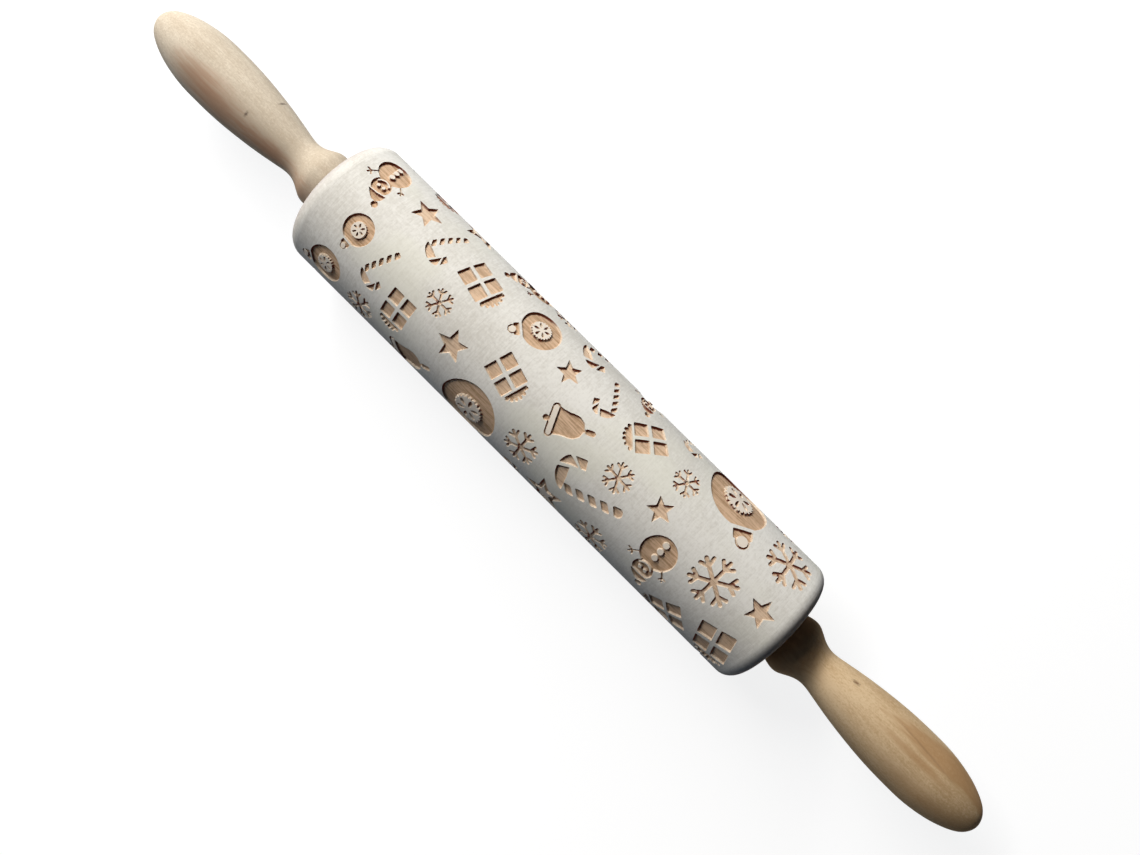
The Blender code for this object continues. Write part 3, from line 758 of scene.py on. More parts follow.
class Motifs:
    """The figures, each drawn about its own middle in shares of its size, upwards along +Y."""

    @staticmethod
    def star_points(scale: float) -> list[tuple[float, float]]:
        """Ten corners of a five-pointed star, whose notches lie at 0.45 of its tips' radius."""
        radii = [scale, 0.45 * scale] * 5
        return [(r * math.sin(-math.pi * i / 5), r * math.cos(math.pi * i / 5)) for i, r in enumerate(radii)]

    @classmethod
    def star(cls, pen: Pen) -> list[Outline]:
        """A plain star."""
        return [pen.polygon(cls.star_points(1.05), 0.05)]

    @classmethod
    def framed_star(cls, pen: Pen) -> list[Outline]:
        """A star with a smaller one left standing in it."""
        return [pen.polygon(cls.star_points(1.03), 0.05), pen.polygon(cls.star_points(0.52), 0.05, False)]

    @staticmethod
    def gift(pen: Pen) -> list[Outline]:
        """A parcel: four panes around the ribbon's cross, and a fan of strokes for the bow.

        Args:
            pen: Draws at the motif's size.

        Returns:
            The outlines.
        """
        gap, half, top, corner = 0.056, 0.505, 0.545, 0.035
        pane = np.array([(gap, gap), (half, gap), (half, top), (gap, top)])
        panes = [pen.polygon(pane * (side, end), corner) for side in (-1, 1) for end in (-1, 1)]
        fan = [(-0.42, 0.61), (0.42, 0.61), (0.38, 0.70), (0.20, 0.82), (-0.17, 0.83), (-0.38, 0.71)]
        tips = [(-0.37, 0.70), (-0.22, 0.82), (-0.055, 0.875), (0.095, 0.865), (0.245, 0.81), (0.37, 0.70)]
        strokes = [pen.bar((0.8 * across, 0.68), (across, along), 0.125) for across, along in tips]
        return [*panes, pen.polygon(fan, 0.03), *strokes]

    @staticmethod
    def cane_hook(turns: float, offset: float) -> tuple[float, float]:
        """A point of the cane's hook.

        Args:
            turns: Half turns from the stem, and beyond 1 straight down.
            offset: Distance outwards from the hook's middle line.

        Returns:
            The point across and along.
        """
        half_width, rise, straight = 0.245, 0.135, 0.23
        angle = math.pi * (1 - min(turns, 1))
        across = half_width + (half_width + offset) * math.cos(angle)
        return across, 0.44 + (rise + offset) * math.sin(angle) - straight * max(turns - 1, 0)

    @classmethod
    def cane(cls, pen: Pen) -> list[Outline]:
        """A walking-stick sweet: slanted stripes up a stem of length 1 and around a hook.

        A stripe in the hook runs between two places on its outer side and two on its inner side, which lies
        at its own distance from the hook's middle line.

        Args:
            pen: Draws at the motif's size.

        Returns:
            The stripes.
        """
        half, slant, corner = 0.083, 0.045, 0.035
        tail = [(-half, -0.42), (-half, -0.50), (-0.045, -0.54), (0.04, -0.54), (half, -0.49), (half, -0.35)]
        outlines = [pen.polygon(tail, 0.04)]
        for low, high in ((-0.305, -0.18), (-0.098, 0.03), (0.11, 0.238), (0.313, 0.441)):
            lower = [(-half, low - slant), (half, low + slant)]
            upper = [(half, high + slant), (-half, high - slant)]
            outlines.append(pen.polygon(lower + upper, corner))
        stripes = [(0.08, 0.58, 0.38, 0.90, 0.12), (0.64, 0.92, 0.97, 1.56, half)]
        stripes.append((1.05, 1.95, 1.68, 2.05, half))
        for outer_low, outer_high, inner_low, inner_high, inside in stripes:
            outer = [cls.cane_hook(stop, half) for stop in np.linspace(outer_low, outer_high, 6)]
            inner = [cls.cane_hook(stop, -inside) for stop in np.linspace(inner_high, inner_low, 6)]
            outlines.append(pen.polygon(outer + inner, corner))
        return outlines

    @classmethod
    def cane_mirrored(cls, pen: Pen) -> list[Outline]:
        """The cane, hooked the other way."""
        return [Outline(outline.points * (-1, 1), outline.sunk) for outline in cls.cane(pen)]

    @staticmethod
    def bauble(pen: Pen) -> list[Outline]:
        """A ball with a toothed plate left standing in it, a cap and a ring.

        The ball is cut straight below its cap. The plate has a rim of small teeth and six petals.

        Args:
            pen: Draws at the motif's size.

        Returns:
            The outlines.
        """
        ball = pen.disc(0, 0, 1).points
        ball[:, 1] = np.minimum(ball[:, 1], 0.93)
        teeth = 22
        rim = np.arange(4 * teeth)
        high = rim % 4 < 2
        lean = np.where(rim % 2 == 0, 0.16, -0.16) * np.where(high, -1, 1)
        radii, angles = np.where(high, 0.485, 0.435), (rim + lean) * (2 * math.pi / len(rim))
        plate = np.stack([radii * np.sin(angles), radii * np.cos(angles)], 1)[::-1]
        half_petal = np.array([(0.0, 0.10), (0.045, 0.18), (0.072, 0.29), (0.042, 0.395)])
        petal = np.vstack([half_petal, half_petal[:0:-1] * (-1, 1)])
        angles = [math.pi * (2 * i + 1) / 6 for i in range(6)]
        petals = [Outline(rounded(petal @ turn_matrix(angle).T, 0.02)) for angle in angles]
        cap = pen.polygon([(-0.31, 1.03), (0.31, 1.03), (0.29, 1.32), (-0.29, 1.32)], 0.05)
        ring = [pen.disc(0, 1.37, 0.225), pen.disc(0, 1.37, 0.16, False)]
        return [Outline(ball), Outline(plate, False), *petals, cap, *ring]

    @staticmethod
    def snowflake(pen: Pen) -> list[Outline]:
        """Six arms with round ends, each with a pair of side branches.

        Args:
            pen: Draws at the motif's size.

        Returns:
            The outlines.
        """
        outlines = []
        for i in range(6):
            turn = turn_matrix(math.pi * i / 3)
            outlines.append(pen.bar((0, 0), turn @ (0, 0.94), 0.185))
            outlines += [pen.bar(turn @ (0, 0.60), turn @ (side * 0.27, 0.835), 0.172) for side in (-1, 1)]
        return outlines

    @staticmethod
    def bell(pen: Pen) -> list[Outline]:
        """A hand bell: a body with flared sides, a rim bar left standing in a groove, handle and clapper.

        Args:
            pen: Draws at the motif's size.

        Returns:
            The outlines.
        """
        bends = [(0.44, 0.10), (0.385, 0.27), (0.352, 0.46), (0.352, 0.64), (0.315, 0.80), (0.20, 0.95)]
        side = smooth_curve(np.array(bends), 4)
        body = np.vstack([side, [(0.0, 1.02)], (side * (-1, 1))[::-1]])
        return [
            pen.bar((-0.36, 0.062), (0.385, 0.062), 0.245),
            Outline(rounded(body, 0.02)),
            pen.disc(0.013, -0.125, 0.095),
            pen.bar((-0.35, 0.066), (0.38, 0.066), 0.145, False),
            pen.bar((0.0, 0.95), (0.0, 1.10), 0.10),
            pen.bar((0.0, 1.11), (0.0, 1.26), 0.17),
        ]

    @staticmethod
    def snowman(pen: Pen) -> list[Outline]:
        """A round body with buttons left standing, a head with eyes and a smile, a hat and twig arms.

        Args:
            pen: Draws at the motif's size.

        Returns:
            The outlines.
        """
        outlines = [pen.disc(0, 0, 1)]
        outlines += [pen.disc(0, along, 0.165, False) for along in (-0.60, -0.15, 0.31)]
        across, head = 0.04, 1.34
        outlines.append(pen.disc(across, head, 0.60))
        smile = np.radians(np.linspace(152, 28, 13))
        arc = np.stack([np.cos(smile), -np.sin(smile)], 1)
        curve = np.vstack([arc * 0.48, (arc * 0.395)[::-1]]) + (across, head)
        outlines.append(Outline(rounded(curve, 0.03), False))
        outlines += [pen.disc(across + side * 0.17, head + 0.02, 0.10, False) for side in (-1, 1)]
        brim = [(-0.60, 1.73), (0.0, 1.785), (0.62, 1.74), (0.62, 1.80), (0.0, 1.86), (-0.60, 1.79)]
        outlines.append(pen.polygon(brim, 0.03, False))
        hat = [(0.56, 1.80), (0.0, 1.86), (-0.58, 1.79), (-0.52, 2.03), (-0.42, 2.22), (-0.20, 2.35)]
        outlines.append(pen.polygon([*hat, (0.06, 2.30), (0.33, 2.07)], 0.06))
        outlines.append(pen.disc(-0.33, 2.50, 0.21))
        arms = (
            ((0.74, 0.56), (1.08, 0.87), ((1.31, 0.82), (1.20, 1.06), (0.97, 1.06))),
            ((-0.74, 0.60), (-0.98, 0.91), ((-1.17, 0.93), (-1.09, 1.10), (-0.90, 1.10))),
        )
        for elbow, hand, tips in arms:
            outlines.append(pen.bar(elbow, hand, 0.09))
            outlines += [pen.bar(hand, tip, 0.115) for tip in tips]
        return outlines


DRAW: dict[MotifKind, Callable[[Pen], list[Outline]]] = {
    kind: getattr(Motifs, kind.value) for kind in MotifKind
}

# How much paler than the darkest floors each figure is burnt
PALENESS: dict[MotifKind, float] = {
    MotifKind.STAR: 0.9,
    MotifKind.FRAMED_STAR: 0.4,
    MotifKind.GIFT: 0.5,
    MotifKind.SNOWFLAKE: 0.9,
    MotifKind.CANE: 0.9,
    MotifKind.CANE_MIRRORED: 0.9,
    MotifKind.BELL: 0.15,
}

# How deep the figures of narrow grooves are sunk, as a share of the full depth
DEEPNESS: dict[MotifKind, float] = {MotifKind.SNOWFLAKE: 0.6}

# Kind, place along X as a share of half the engraved field's length, degrees around the barrel from its top
# towards +Y, size as a share of the barrel's radius, and the motif's turn in degrees
MOTIF_PLACES: tuple[tuple[str, float, float, float, float], ...] = (
    # the side in front of the viewer
    ("snowman", -0.904, 47, 0.241, -170),
    ("star", -0.729, 41, 0.226, -3),
    ("cane_mirrored", -0.612, 36.7, 0.570, 153),
    ("gift", -0.443, 30.7, 0.447, -105),
    ("snowflake", -0.480, -5, 0.196, 30),
    ("bauble", -0.835, -9, 0.226, 173),
    ("cane_mirrored", -0.712, -15.1, 0.552, 152.5),
    ("gift", -0.573, -33, 0.407, 180),
    ("star", -0.358, -22, 0.233, 18),
    ("bauble", -0.870, -54, 0.281, 114),
    ("snowflake", -0.698, -62, 0.237, 30),
    ("bell", -0.523, -75, 0.526, -62),
    ("bauble", -0.190, 38, 0.300, 138),
    ("star", -0.028, 28, 0.185, -30),
    ("cane", 0.134, 41.9, 0.532, -150.6),
    ("gift", 0.307, 37, 0.437, 133),
    ("bell", 0.033, -8, 0.474, -66),
    ("gift", -0.167, -8, 0.419, -107),
    ("bauble", -0.192, -58, 0.474, -150),
    ("snowflake", 0.025, -44, 0.267, 0),
    ("cane", 0.305, -32.7, 0.880, 113.1),
    ("framed_star", 0.180, -68, 0.337, 22),
    ("snowflake", 0.389, -64, 0.281, 0),
    ("snowflake", 0.319, -4, 0.215, 26),
    ("bauble", 0.649, 61, 0.489, -147),
    ("snowflake", 0.901, 45, 0.356, 0),
    ("snowflake", 0.485, 31, 0.204, 30),
    ("snowflake", 0.757, -9, 0.344, 0),
    ("star", 0.484, 1, 0.190, -29),
    ("star", 0.927, -1, 0.207, -2),
    ("snowman", 0.577, -24, 0.261, -178),
    ("gift", 0.738, -64, 0.463, 130),
    ("gift", 0.903, -48, 0.511, -162),
    # over the far edge, of which only the near halves show
    ("snowflake", -0.928, 93, 0.222, 30),
    ("gift", -0.747, 89, 0.426, 180),
    ("framed_star", -0.585, 81, 0.348, 14),
    ("snowman", -0.300, 79, 0.237, 123),
    ("snowflake", -0.176, 80, 0.222, 30),
    ("cane_mirrored", 0.012, 79, 0.741, 131),
    ("snowman", 0.220, 86, 0.222, -178),
    ("cane_mirrored", 0.418, 81, 0.518, 156),
    ("snowflake", 0.842, 88, 0.237, 0),
    # the hidden side beyond the far edge
    ("bauble", -0.875, 124, 0.278, 20),
    ("cane", -0.690, 127, 0.500, 18),
    ("snowflake", -0.495, 112, 0.259, 0),
    ("gift", -0.327, 114, 0.420, -14),
    ("star", -0.137, 113, 0.222, 12),
    ("bell", 0.095, 113, 0.470, 62),
    ("bauble", 0.316, 120, 0.400, 40),
    ("star", 0.506, 108, 0.190, -20),
    ("snowman", 0.643, 118, 0.240, 12),
    ("gift", 0.896, 117, 0.430, 24),
    ("star", -0.928, 157, 0.215, 8),
    ("snowflake", -0.780, 160, 0.240, 30),
    ("bell", -0.585, 157, 0.450, -100),
    ("snowman", -0.306, 155, 0.215, -78),
    ("cane_mirrored", -0.074, 149, 0.500, -68),
    ("snowflake", 0.126, 155, 0.300, 0),
    ("gift", 0.474, 154, 0.430, 100),
    ("cane", 0.775, 155, 0.480, 78),
    ("star", 0.938, 155, 0.226, 25),
    # the hidden side beyond the near edge
    ("star", -0.917, -93, 0.230, 12),
    ("gift", -0.738, -101, 0.420, 15),
    ("snowflake", -0.337, -99, 0.230, 0),
    ("cane", 0.021, -93, 0.520, 25),
    ("snowflake", 0.253, -104, 0.220, 30),
    ("bell", 0.527, -97, 0.450, 75),
    ("star", 0.906, -90, 0.222, -12),
    ("bauble", -0.875, -133, 0.320, -30),
    ("cane_mirrored", -0.622, -145, 0.500, -25),
    ("snowman", -0.474, -119, 0.235, 172),
    ("framed_star", -0.253, -133, 0.330, 0),
    ("bauble", -0.042, -130, 0.240, 160),
    ("gift", 0.169, -137, 0.430, 72),
    ("snowman", 0.411, -127, 0.240, -172),
    ("snowflake", 0.601, -124, 0.290, 0),
    ("bauble", 0.822, -121, 0.340, 140),
    ("snowflake", -0.780, -163, 0.210, 0),
    ("star", -0.401, -161, 0.200, -16),
    ("snowflake", -0.200, -163, 0.210, 30),
    ("star", 0.011, -162, 0.190, 20),
    ("cane", 0.654, -163, 0.450, 86),
    ("star", 0.928, -158, 0.215, 0),
)


def refined(points: Array, step: float) -> Array:
    """Cut each edge of a closed outline into equal parts.

    Args:
        points: The outline.
        step: The longest part.

    Returns:
        The outline with the extra points.
    """
    after = np.roll(points, -1, 0)
    counts = np.maximum(1, np.ceil(np.linalg.norm(after - points, axis=1) / step)).astype(int)
    first = np.repeat(np.cumsum(counts) - counts, counts)
    share = (np.arange(counts.sum()) - first) / np.repeat(counts, counts)
    start = np.repeat(points, counts, 0)
    return start + share[:, None] * (np.repeat(after, counts, 0) - start)


def within(points: Array, outline: Array) -> Array:
    """Find the points in a closed outline: a line from such a point crosses it an odd number of times.

    Args:
        points: The points.
        outline: The outline.

    Returns:
        Which points it holds.
    """
    x, y = points[:, :1], points[:, 1:]
    x0, y0 = outline.T
    x1, y1 = np.roll(outline, -1, 0).T
    spans = (y0 > y) != (y1 > y)
    slope = (x1 - x0) / np.where(y1 == y0, 1, y1 - y0)
    return (spans & (x < x0 + (y - y0) * slope)).sum(1) % 2 == 1


def triangulated(points: Array, edges: list[Any], faces: list[Any]) -> tuple[Array, Array, list[Any]]:
    """Triangulate points so that every given edge stays; points closer than a tenth of a micrometre merge.

    Args:
        points: The points.
        edges: Pairs of point numbers.
        faces: Outlines as lists of point numbers.

    Returns:
        The points, the triangles, and for each triangle the faces that hold it.
    """
    flat = delaunay_2d_cdt(points.tolist(), edges, faces, 0, 1e-4, True)
    return np.array([tuple(point) for point in flat[0]]), np.array(flat[2]), flat[5]


def gap_to(points: Array, starts: Array, ends: Array, reach: float) -> tuple[Array, Array]:
    """Each point's distance to the nearest of many edges, up to a reach.

    The nearest place on an edge is its start plus the point's projection on it, kept between the edge's ends.
    Points and edges are compared tile by tile.

    Args:
        points: The points.
        starts: Where the edges start.
        ends: Where they end.
        reach: The largest distance that matters.

    Returns:
        The distances, and which edge is the nearest.
    """
    tile = 8.0
    found, edge = np.full(len(points), reach), np.zeros(len(points), int)
    middles = (starts + ends) / 2
    margin = reach + np.linalg.norm(ends - starts, axis=1).max() / 2
    tiles = np.floor(points / tile)
    for place in np.unique(tiles, axis=0):
        own = np.flatnonzero((tiles == place).all(1))
        near = np.flatnonzero((abs(middles - (place + 0.5) * tile) < tile / 2 + margin).all(1))
        if near.size:
            along = ends[near] - starts[near]
            offset = points[own, None] - starts[near]
            share = np.clip((offset * along).sum(-1) / (along**2).sum(-1), 0, 1)
            away = np.linalg.norm(offset - share[..., None] * along, axis=-1)
            edge[own] = near[away.argmin(1)]
            found[own] = np.minimum(away.min(1), reach)
    return found, edge


@dataclass(frozen=True)
class Sheet:
    """The engraved surface, unrolled.

    It has points (x, arc), a share between 0 and 1 for each point by the name that the wood reads, the depth
    of the point's recess as a share of the full depth, triangles, and which triangles are plain surface.
    """

    points: Array
    shares: dict[str, Array]
    deep: Array
    triangles: Array
    standing: Array


@dataclass(frozen=True)
class Engraving:
    """The pattern on the unrolled barrel, in millimetres: x along the pin and arc length around it."""

    radius: float
    field_end: float
    unit: float = 27.0
    columns: int = 120
    row_step: float = 3.0
    floor_step: float = 1.1
    edge_step: float = 0.9
    draft: float = 0.32
    rows: tuple[float, ...] = (0.5, 1.0)
    # how a wall falls: a share t of the way in it is 1 - (1 - t)^fall deep, and 0 below the lip's share
    fall: float = 1.4
    lip: float = 0.02
    # how far points inside the sheet keep from its border, and from the rim on plain surface and on floors
    margin: float = 1.5
    plain_gap: float = 0.5
    floor_gap: float = 0.62
    # spacing of plain points around the barrel, and the size of the cells that hold one wall point each
    arc_step: float = 1.41
    cell: float = 0.11
    # how far a wall point may lie beyond its row at a sharp corner, and how near the rim it may be
    mitre: float = 0.6
    least_gap: float = 0.93
    # how far from the rim, and on which side, the charring reaches; there it is also painted shade and shadow
    # from the key lamp
    char_reach: float = 0.95
    char_heading: tuple[float, float] = (0.85, -0.53)

    def outlines(self) -> list[Outline]:
        """Put every outline in its place, anticlockwise: p = middle + turn(size q) for a motif's point q.

        Returns:
            The outlines.
        """
        placed = []
        for name, along, degrees, share, turn in MOTIF_PLACES:
            kind, size = MotifKind(name), share * self.unit
            middle = (along * self.field_end, self.radius * math.radians(degrees))
            for outline in DRAW[kind](Pen(size)):
                points = refined(outline.points * size, self.edge_step)
                points = points @ turn_matrix(math.radians(turn)) + middle
                after = np.roll(points, -1, 0)
                area = (points[:, 0] * after[:, 1] - points[:, 1] * after[:, 0]).sum()
                points = points if area > 0 else points[::-1]
                placed.append(Outline(points, outline.sunk, PALENESS.get(kind, 0.0), DEEPNESS.get(kind, 1.0)))
        return placed

    def border(self) -> Array:
        """Lay points around the sheet's four sides.

        Returns:
            The points in order.
        """
        half = math.pi * self.radius
        x = np.linspace(-self.field_end, self.field_end, round(2 * self.field_end / self.row_step) + 1)
        arc = np.linspace(-half, half, self.columns + 1)
        return np.concatenate([
            np.stack([x, np.full_like(x, -half)], 1)[:-1],
            np.stack([np.full_like(arc, self.field_end), arc], 1)[:-1],
            np.stack([x, np.full_like(x, half)], 1)[:0:-1],
            np.stack([np.full_like(arc, -self.field_end), arc], 1)[:0:-1],
        ])

    @staticmethod
    def sunk(points: Array, outlines: list[Outline]) -> tuple[Array, Array, Array, Array]:
        """Tell where points lie: the last outline that holds a point decides.

        Args:
            points: The points.
            outlines: The placed outlines.

        Returns:
            Which points are in a recess, which are on an island left standing in one, and how pale and how
            deep each is.
        """
        state, island = np.zeros((2, len(points)), bool)
        pale, deep = np.zeros(len(points)), np.ones(len(points))
        for outline in outlines:
            low, high = outline.points.min(0), outline.points.max(0)
            close = np.flatnonzero(((points > low) & (points < high)).all(1))
            held = close[within(points[close], outline.points)]
            island[held] = state[held] & (not outline.sunk)
            state[held], pale[held], deep[held] = outline.sunk, outline.pale, outline.deep
        return state, island, pale, deep

    def rim(self, outlines: list[Outline], border: Array) -> tuple[Array, Array]:
        """Find the edges between recess and standing surface, with the recess on their left.

        Args:
            outlines: The placed outlines.
            border: The sheet's border.

        Returns:
            Points, and pairs of point numbers.
        """
        points = np.concatenate([border, *(outline.points for outline in outlines)])
        starts = len(border) + np.cumsum([0] + [len(outline.points) for outline in outlines])
        faces = [list(range(start, end)) for start, end in zip(starts.tolist(), starts[1:].tolist())]
        points, triangles, held = triangulated(points, [], faces)
        low = np.array([bool(holders) and outlines[max(holders)].sunk for holders in held])
        sides = triangles[low][:, [[0, 1], [1, 2], [2, 0]]].reshape(-1, 2)
        ahead = sides[:, 0] * len(points) + sides[:, 1]
        back = sides[:, 1] * len(points) + sides[:, 0]
        return points, sides[~np.isin(back, ahead)]

    def wall_points(self, points: Array, rim: Array, outlines: list[Outline]) -> Array:
        """Lay rows of points down the recess walls.

        A row's point lies inwards from a rim point, along the mean of its two edges' normals, and is left out
        where another part of the rim is nearer.

        Args:
            points: The rim's points.
            rim: Its edges.
            outlines: The placed outlines.

        Returns:
            The rows' points.
        """
        heading = points[rim[:, 1]] - points[rim[:, 0]]
        normal = np.stack([-heading[:, 1], heading[:, 0]], 1)
        normal /= np.linalg.norm(normal, axis=1, keepdims=True)
        inward = np.zeros_like(points)
        np.add.at(inward, rim[:, 0], normal)
        np.add.at(inward, rim[:, 1], normal)
        used = np.unique(rim)
        inward = inward[used]
        inward /= np.maximum((inward**2).sum(1, keepdims=True) / 2, self.mitre)
        starts, ends = points[rim[:, 0]], points[rim[:, 1]]
        kept = []
        for row in self.rows:
            moved = points[used] + inward * row * self.draft
            moved = moved[gap_to(moved, starts, ends, self.draft)[0] > self.least_gap * row * self.draft]
            kept.append(moved[self.sunk(moved, outlines)[0]])
        rows = np.concatenate(kept)
        return rows[np.unique(np.floor(rows / self.cell), axis=0, return_index=True)[1]]

    def grid(self, x_step: float, arc_step: float) -> Array:
        """Lay points inside the border in rows and columns.

        Args:
            x_step: Spacing along X.
            arc_step: Spacing around the barrel.

        Returns:
            The points.
        """
        x, arc = (
            np.linspace(self.margin - half, half - self.margin, round(2 * half / step))
            for half, step in ((self.field_end, x_step), (math.pi * self.radius, arc_step))
        )
        return np.stack(np.meshgrid(x, arc), -1).reshape(-1, 2)

    def sheet(self) -> Sheet:
        """Triangulate the sheet.

        A point's depth share is 1 - (1 - t)^fall, where t is its gap to the rim divided by the draft. The
        side of a recess that faces the heading is charred, partly a real burn and partly painted shade and
        shadow
        from the key lamp: char = (n . heading) (1 - gap / reach), where n points from the nearest rim into
        the recess.

        Returns:
            The sheet.
        """
        outlines = self.outlines()
        border = self.border()
        cut_points, rim = self.rim(outlines, border)
        starts, ends = cut_points[rim[:, 0]], cut_points[rim[:, 1]]
        used, places = np.unique(rim, return_inverse=True)
        walls = self.wall_points(cut_points, rim, outlines)
        plain = self.grid(self.row_step, self.arc_step)
        plain = plain[gap_to(plain, starts, ends, 2 * self.plain_gap)[0] > self.plain_gap]
        plain = plain[~self.sunk(plain, outlines)[0]]
        floor = self.grid(self.floor_step, self.floor_step)
        floor = floor[self.sunk(floor, outlines)[0]]
        floor = floor[gap_to(floor, starts, ends, 2 * self.floor_gap)[0] > self.floor_gap]

        points = np.concatenate([border, cut_points[used], walls, plain, floor])
        ring = np.arange(len(border))
        edges = np.concatenate([np.stack([ring, np.roll(ring, -1)], 1), places.reshape(-1, 2) + len(border)])
        points, triangles, _ = triangulated(points, edges.tolist(), [])
        low, island, pale, deep = self.sunk(points[triangles].mean(1), outlines)
        inside, toasted = np.zeros((2, len(points)), bool)
        inside[triangles[low]] = True
        toasted[triangles[island & ~low]] = True
        tone, reach = np.zeros(len(points)), np.ones(len(points))
        tone[triangles[low]] = pale[low][:, None]
        reach[triangles[low]] = deep[low][:, None]
        gap, nearest = gap_to(points, starts, ends, self.char_reach)
        along = (ends - starts)[nearest]
        facing = along @ (self.char_heading[1], -self.char_heading[0]) / np.linalg.norm(along, axis=1)
        char = np.clip(facing, 0, 1) * (1 - gap / self.char_reach) * inside
        t = np.clip(gap / self.draft, 0, 1) * inside
        t[t < self.lip] = 0
        shares = {"depth": 1 - (1 - t) ** self.fall, "island": toasted, "pale": tone, "char": char}
        return Sheet(points, shares, reach, triangles, ~low)


@dataclass(frozen=True)
class Barrel:
    """The engraved wooden barrel with rounded shoulders, bearing seats and a bore, in millimetres."""

    shoulder: float = 6.0
    shoulder_steps: int = 9
    depth: float = 0.8
    seat_radius: float = 9.7
    seat_chamfer: float = 0.6
    seat_floor: float = 110.4
    bore_radius: float = 5.0
    # flat bands on the end face beside the shoulder and beside the seat's mouth, which keep their edges crisp
    outer_band: float = 0.6
    inner_band: float = 0.3
    # depth share from which a point lies on a recess's floor, and the angle from which an edge is sharp
    floor_share: float = 0.999
    sharp_degrees: float = 40.0

    @property
    def radius(self) -> float:
        """The barrel's radius."""
        return PIN.axis_height / MM

    @property
    def end(self) -> float:
        """Half the barrel's length."""
        return PIN.barrel_end / MM

    def skin(self) -> Array:
        """Draw the profile from the pattern's right end over the shoulder and through the bore to the left.

        Returns:
            Rows of x and radius.
        """
        field_end = self.end - self.shoulder
        angles = np.linspace(0, math.pi / 2, self.shoulder_steps + 1)
        arc = np.stack([np.sin(angles), np.cos(angles) - 1], 1) * self.shoulder + (field_end, self.radius)
        mouth = self.seat_radius + self.seat_chamfer
        inside = [
            (self.end, self.radius - self.shoulder - self.outer_band),
            (self.end, mouth + self.inner_band),
            (self.end, mouth),
            (self.end - self.seat_chamfer, self.seat_radius),
            (self.seat_floor, self.seat_radius),
            (self.seat_floor, self.bore_radius),
        ]
        right = np.vstack([arc, inside])
        return np.vstack([right, (right * (-1, 1))[::-1]])

    def build(self, finish: BarrelWood) -> None:
        """Make the barrel: the engraved sheet, rolled up and closed by the skin.

        A sheet point (x, arc) at depth h goes to (x, r sin a, r cos a), where a = arc / R and r = R - h.

        Args:
            finish: Its wood.
        """
        engraving = Engraving(self.radius, self.end - self.shoulder)
        sheet = engraving.sheet()
        flat, count, close = sheet.points, len(sheet.points), 1e-3
        seam = math.pi * self.radius
        joined = np.arange(count)
        first, last = (np.flatnonzero(abs(flat[:, 1] - place) < close) for place in (-seam, seam))
        joined[last[np.argsort(flat[last, 0])]] = first[np.argsort(flat[first, 0])]
        triangles = joined[sheet.triangles]

        rings = plain_rings(self.skin()[1:-1], engraving.columns)
        turn = np.arange(engraving.columns) - engraving.columns // 2
        rings = rings[:, turn % engraving.columns].reshape(-1, 3)
        field_ends = (engraving.field_end, -engraving.field_end)
        borders = [np.flatnonzero(abs(flat[:, 0] - place) < close) for place in field_ends]
        borders = [edge[np.argsort(flat[edge, 1])][: engraving.columns] for edge in borders]
        numbers = count + np.arange(len(rings)).reshape(-1, engraving.columns)
        numbers = np.vstack([borders[0], numbers, borders[1]])
        after = np.roll(numbers, -1, 1)
        skin = np.stack([numbers[:-1], numbers[1:], after[1:], after[:-1]], -1).reshape(-1, 4)

        depth = sheet.shares["depth"] * sheet.deep * self.depth
        angle, radius = flat[:, 1] / self.radius, self.radius - depth
        rolled = np.stack([flat[:, 0], radius * np.sin(angle), radius * np.cos(angle)], 1)
        used = np.unique(np.concatenate([triangles.ravel(), skin.ravel()]))
        renumber = np.zeros(count + len(rings), int)
        renumber[used] = np.arange(len(used))
        points = np.vstack([rolled, rings])[used]
        triangles, skin = renumber[triangles], renumber[skin]

        faces = [tuple(face) for part in (triangles, skin) for face in part.tolist()]
        piece = add_piece("engraved_barrel", points * MM, faces, finish.build(), self.sharp_degrees)
        plain = np.zeros(len(rings))
        shares = {name: np.concatenate([share, plain])[used] for name, share in sheet.shares.items()}
        level = (shares["depth"][triangles] > self.floor_share).all(1) | sheet.standing
        self.smooth(piece, points, triangles, level, skin.size)
        for name, share in shares.items():
            store(piece, name, share)
        dress(piece, "barrel", "barrel_wood", "barrel")

    @staticmethod
    def smooth(piece: bpy.types.Object, points: Array, triangles: Array, level: Array, others: int) -> None:
        """Give the plain surface and the recess floors the normals of a true cylinder.

        Args:
            piece: The barrel.
            points: Its points about the axis.
            triangles: The sheet's triangles, which come first in the mesh.
            level: Which of them are plain surface or floor.
            others: How many corners the other faces have.
        """
        radial = points * (0, 1, 1)
        radial /= np.linalg.norm(radial, axis=1, keepdims=True)
        normals = radial[triangles] * level[:, None, None]
        normals = np.concatenate([normals.reshape(-1, 3), np.zeros((others, 3))])
        piece.data.normals_split_custom_set(normals.tolist())


# Handles and the parts inside


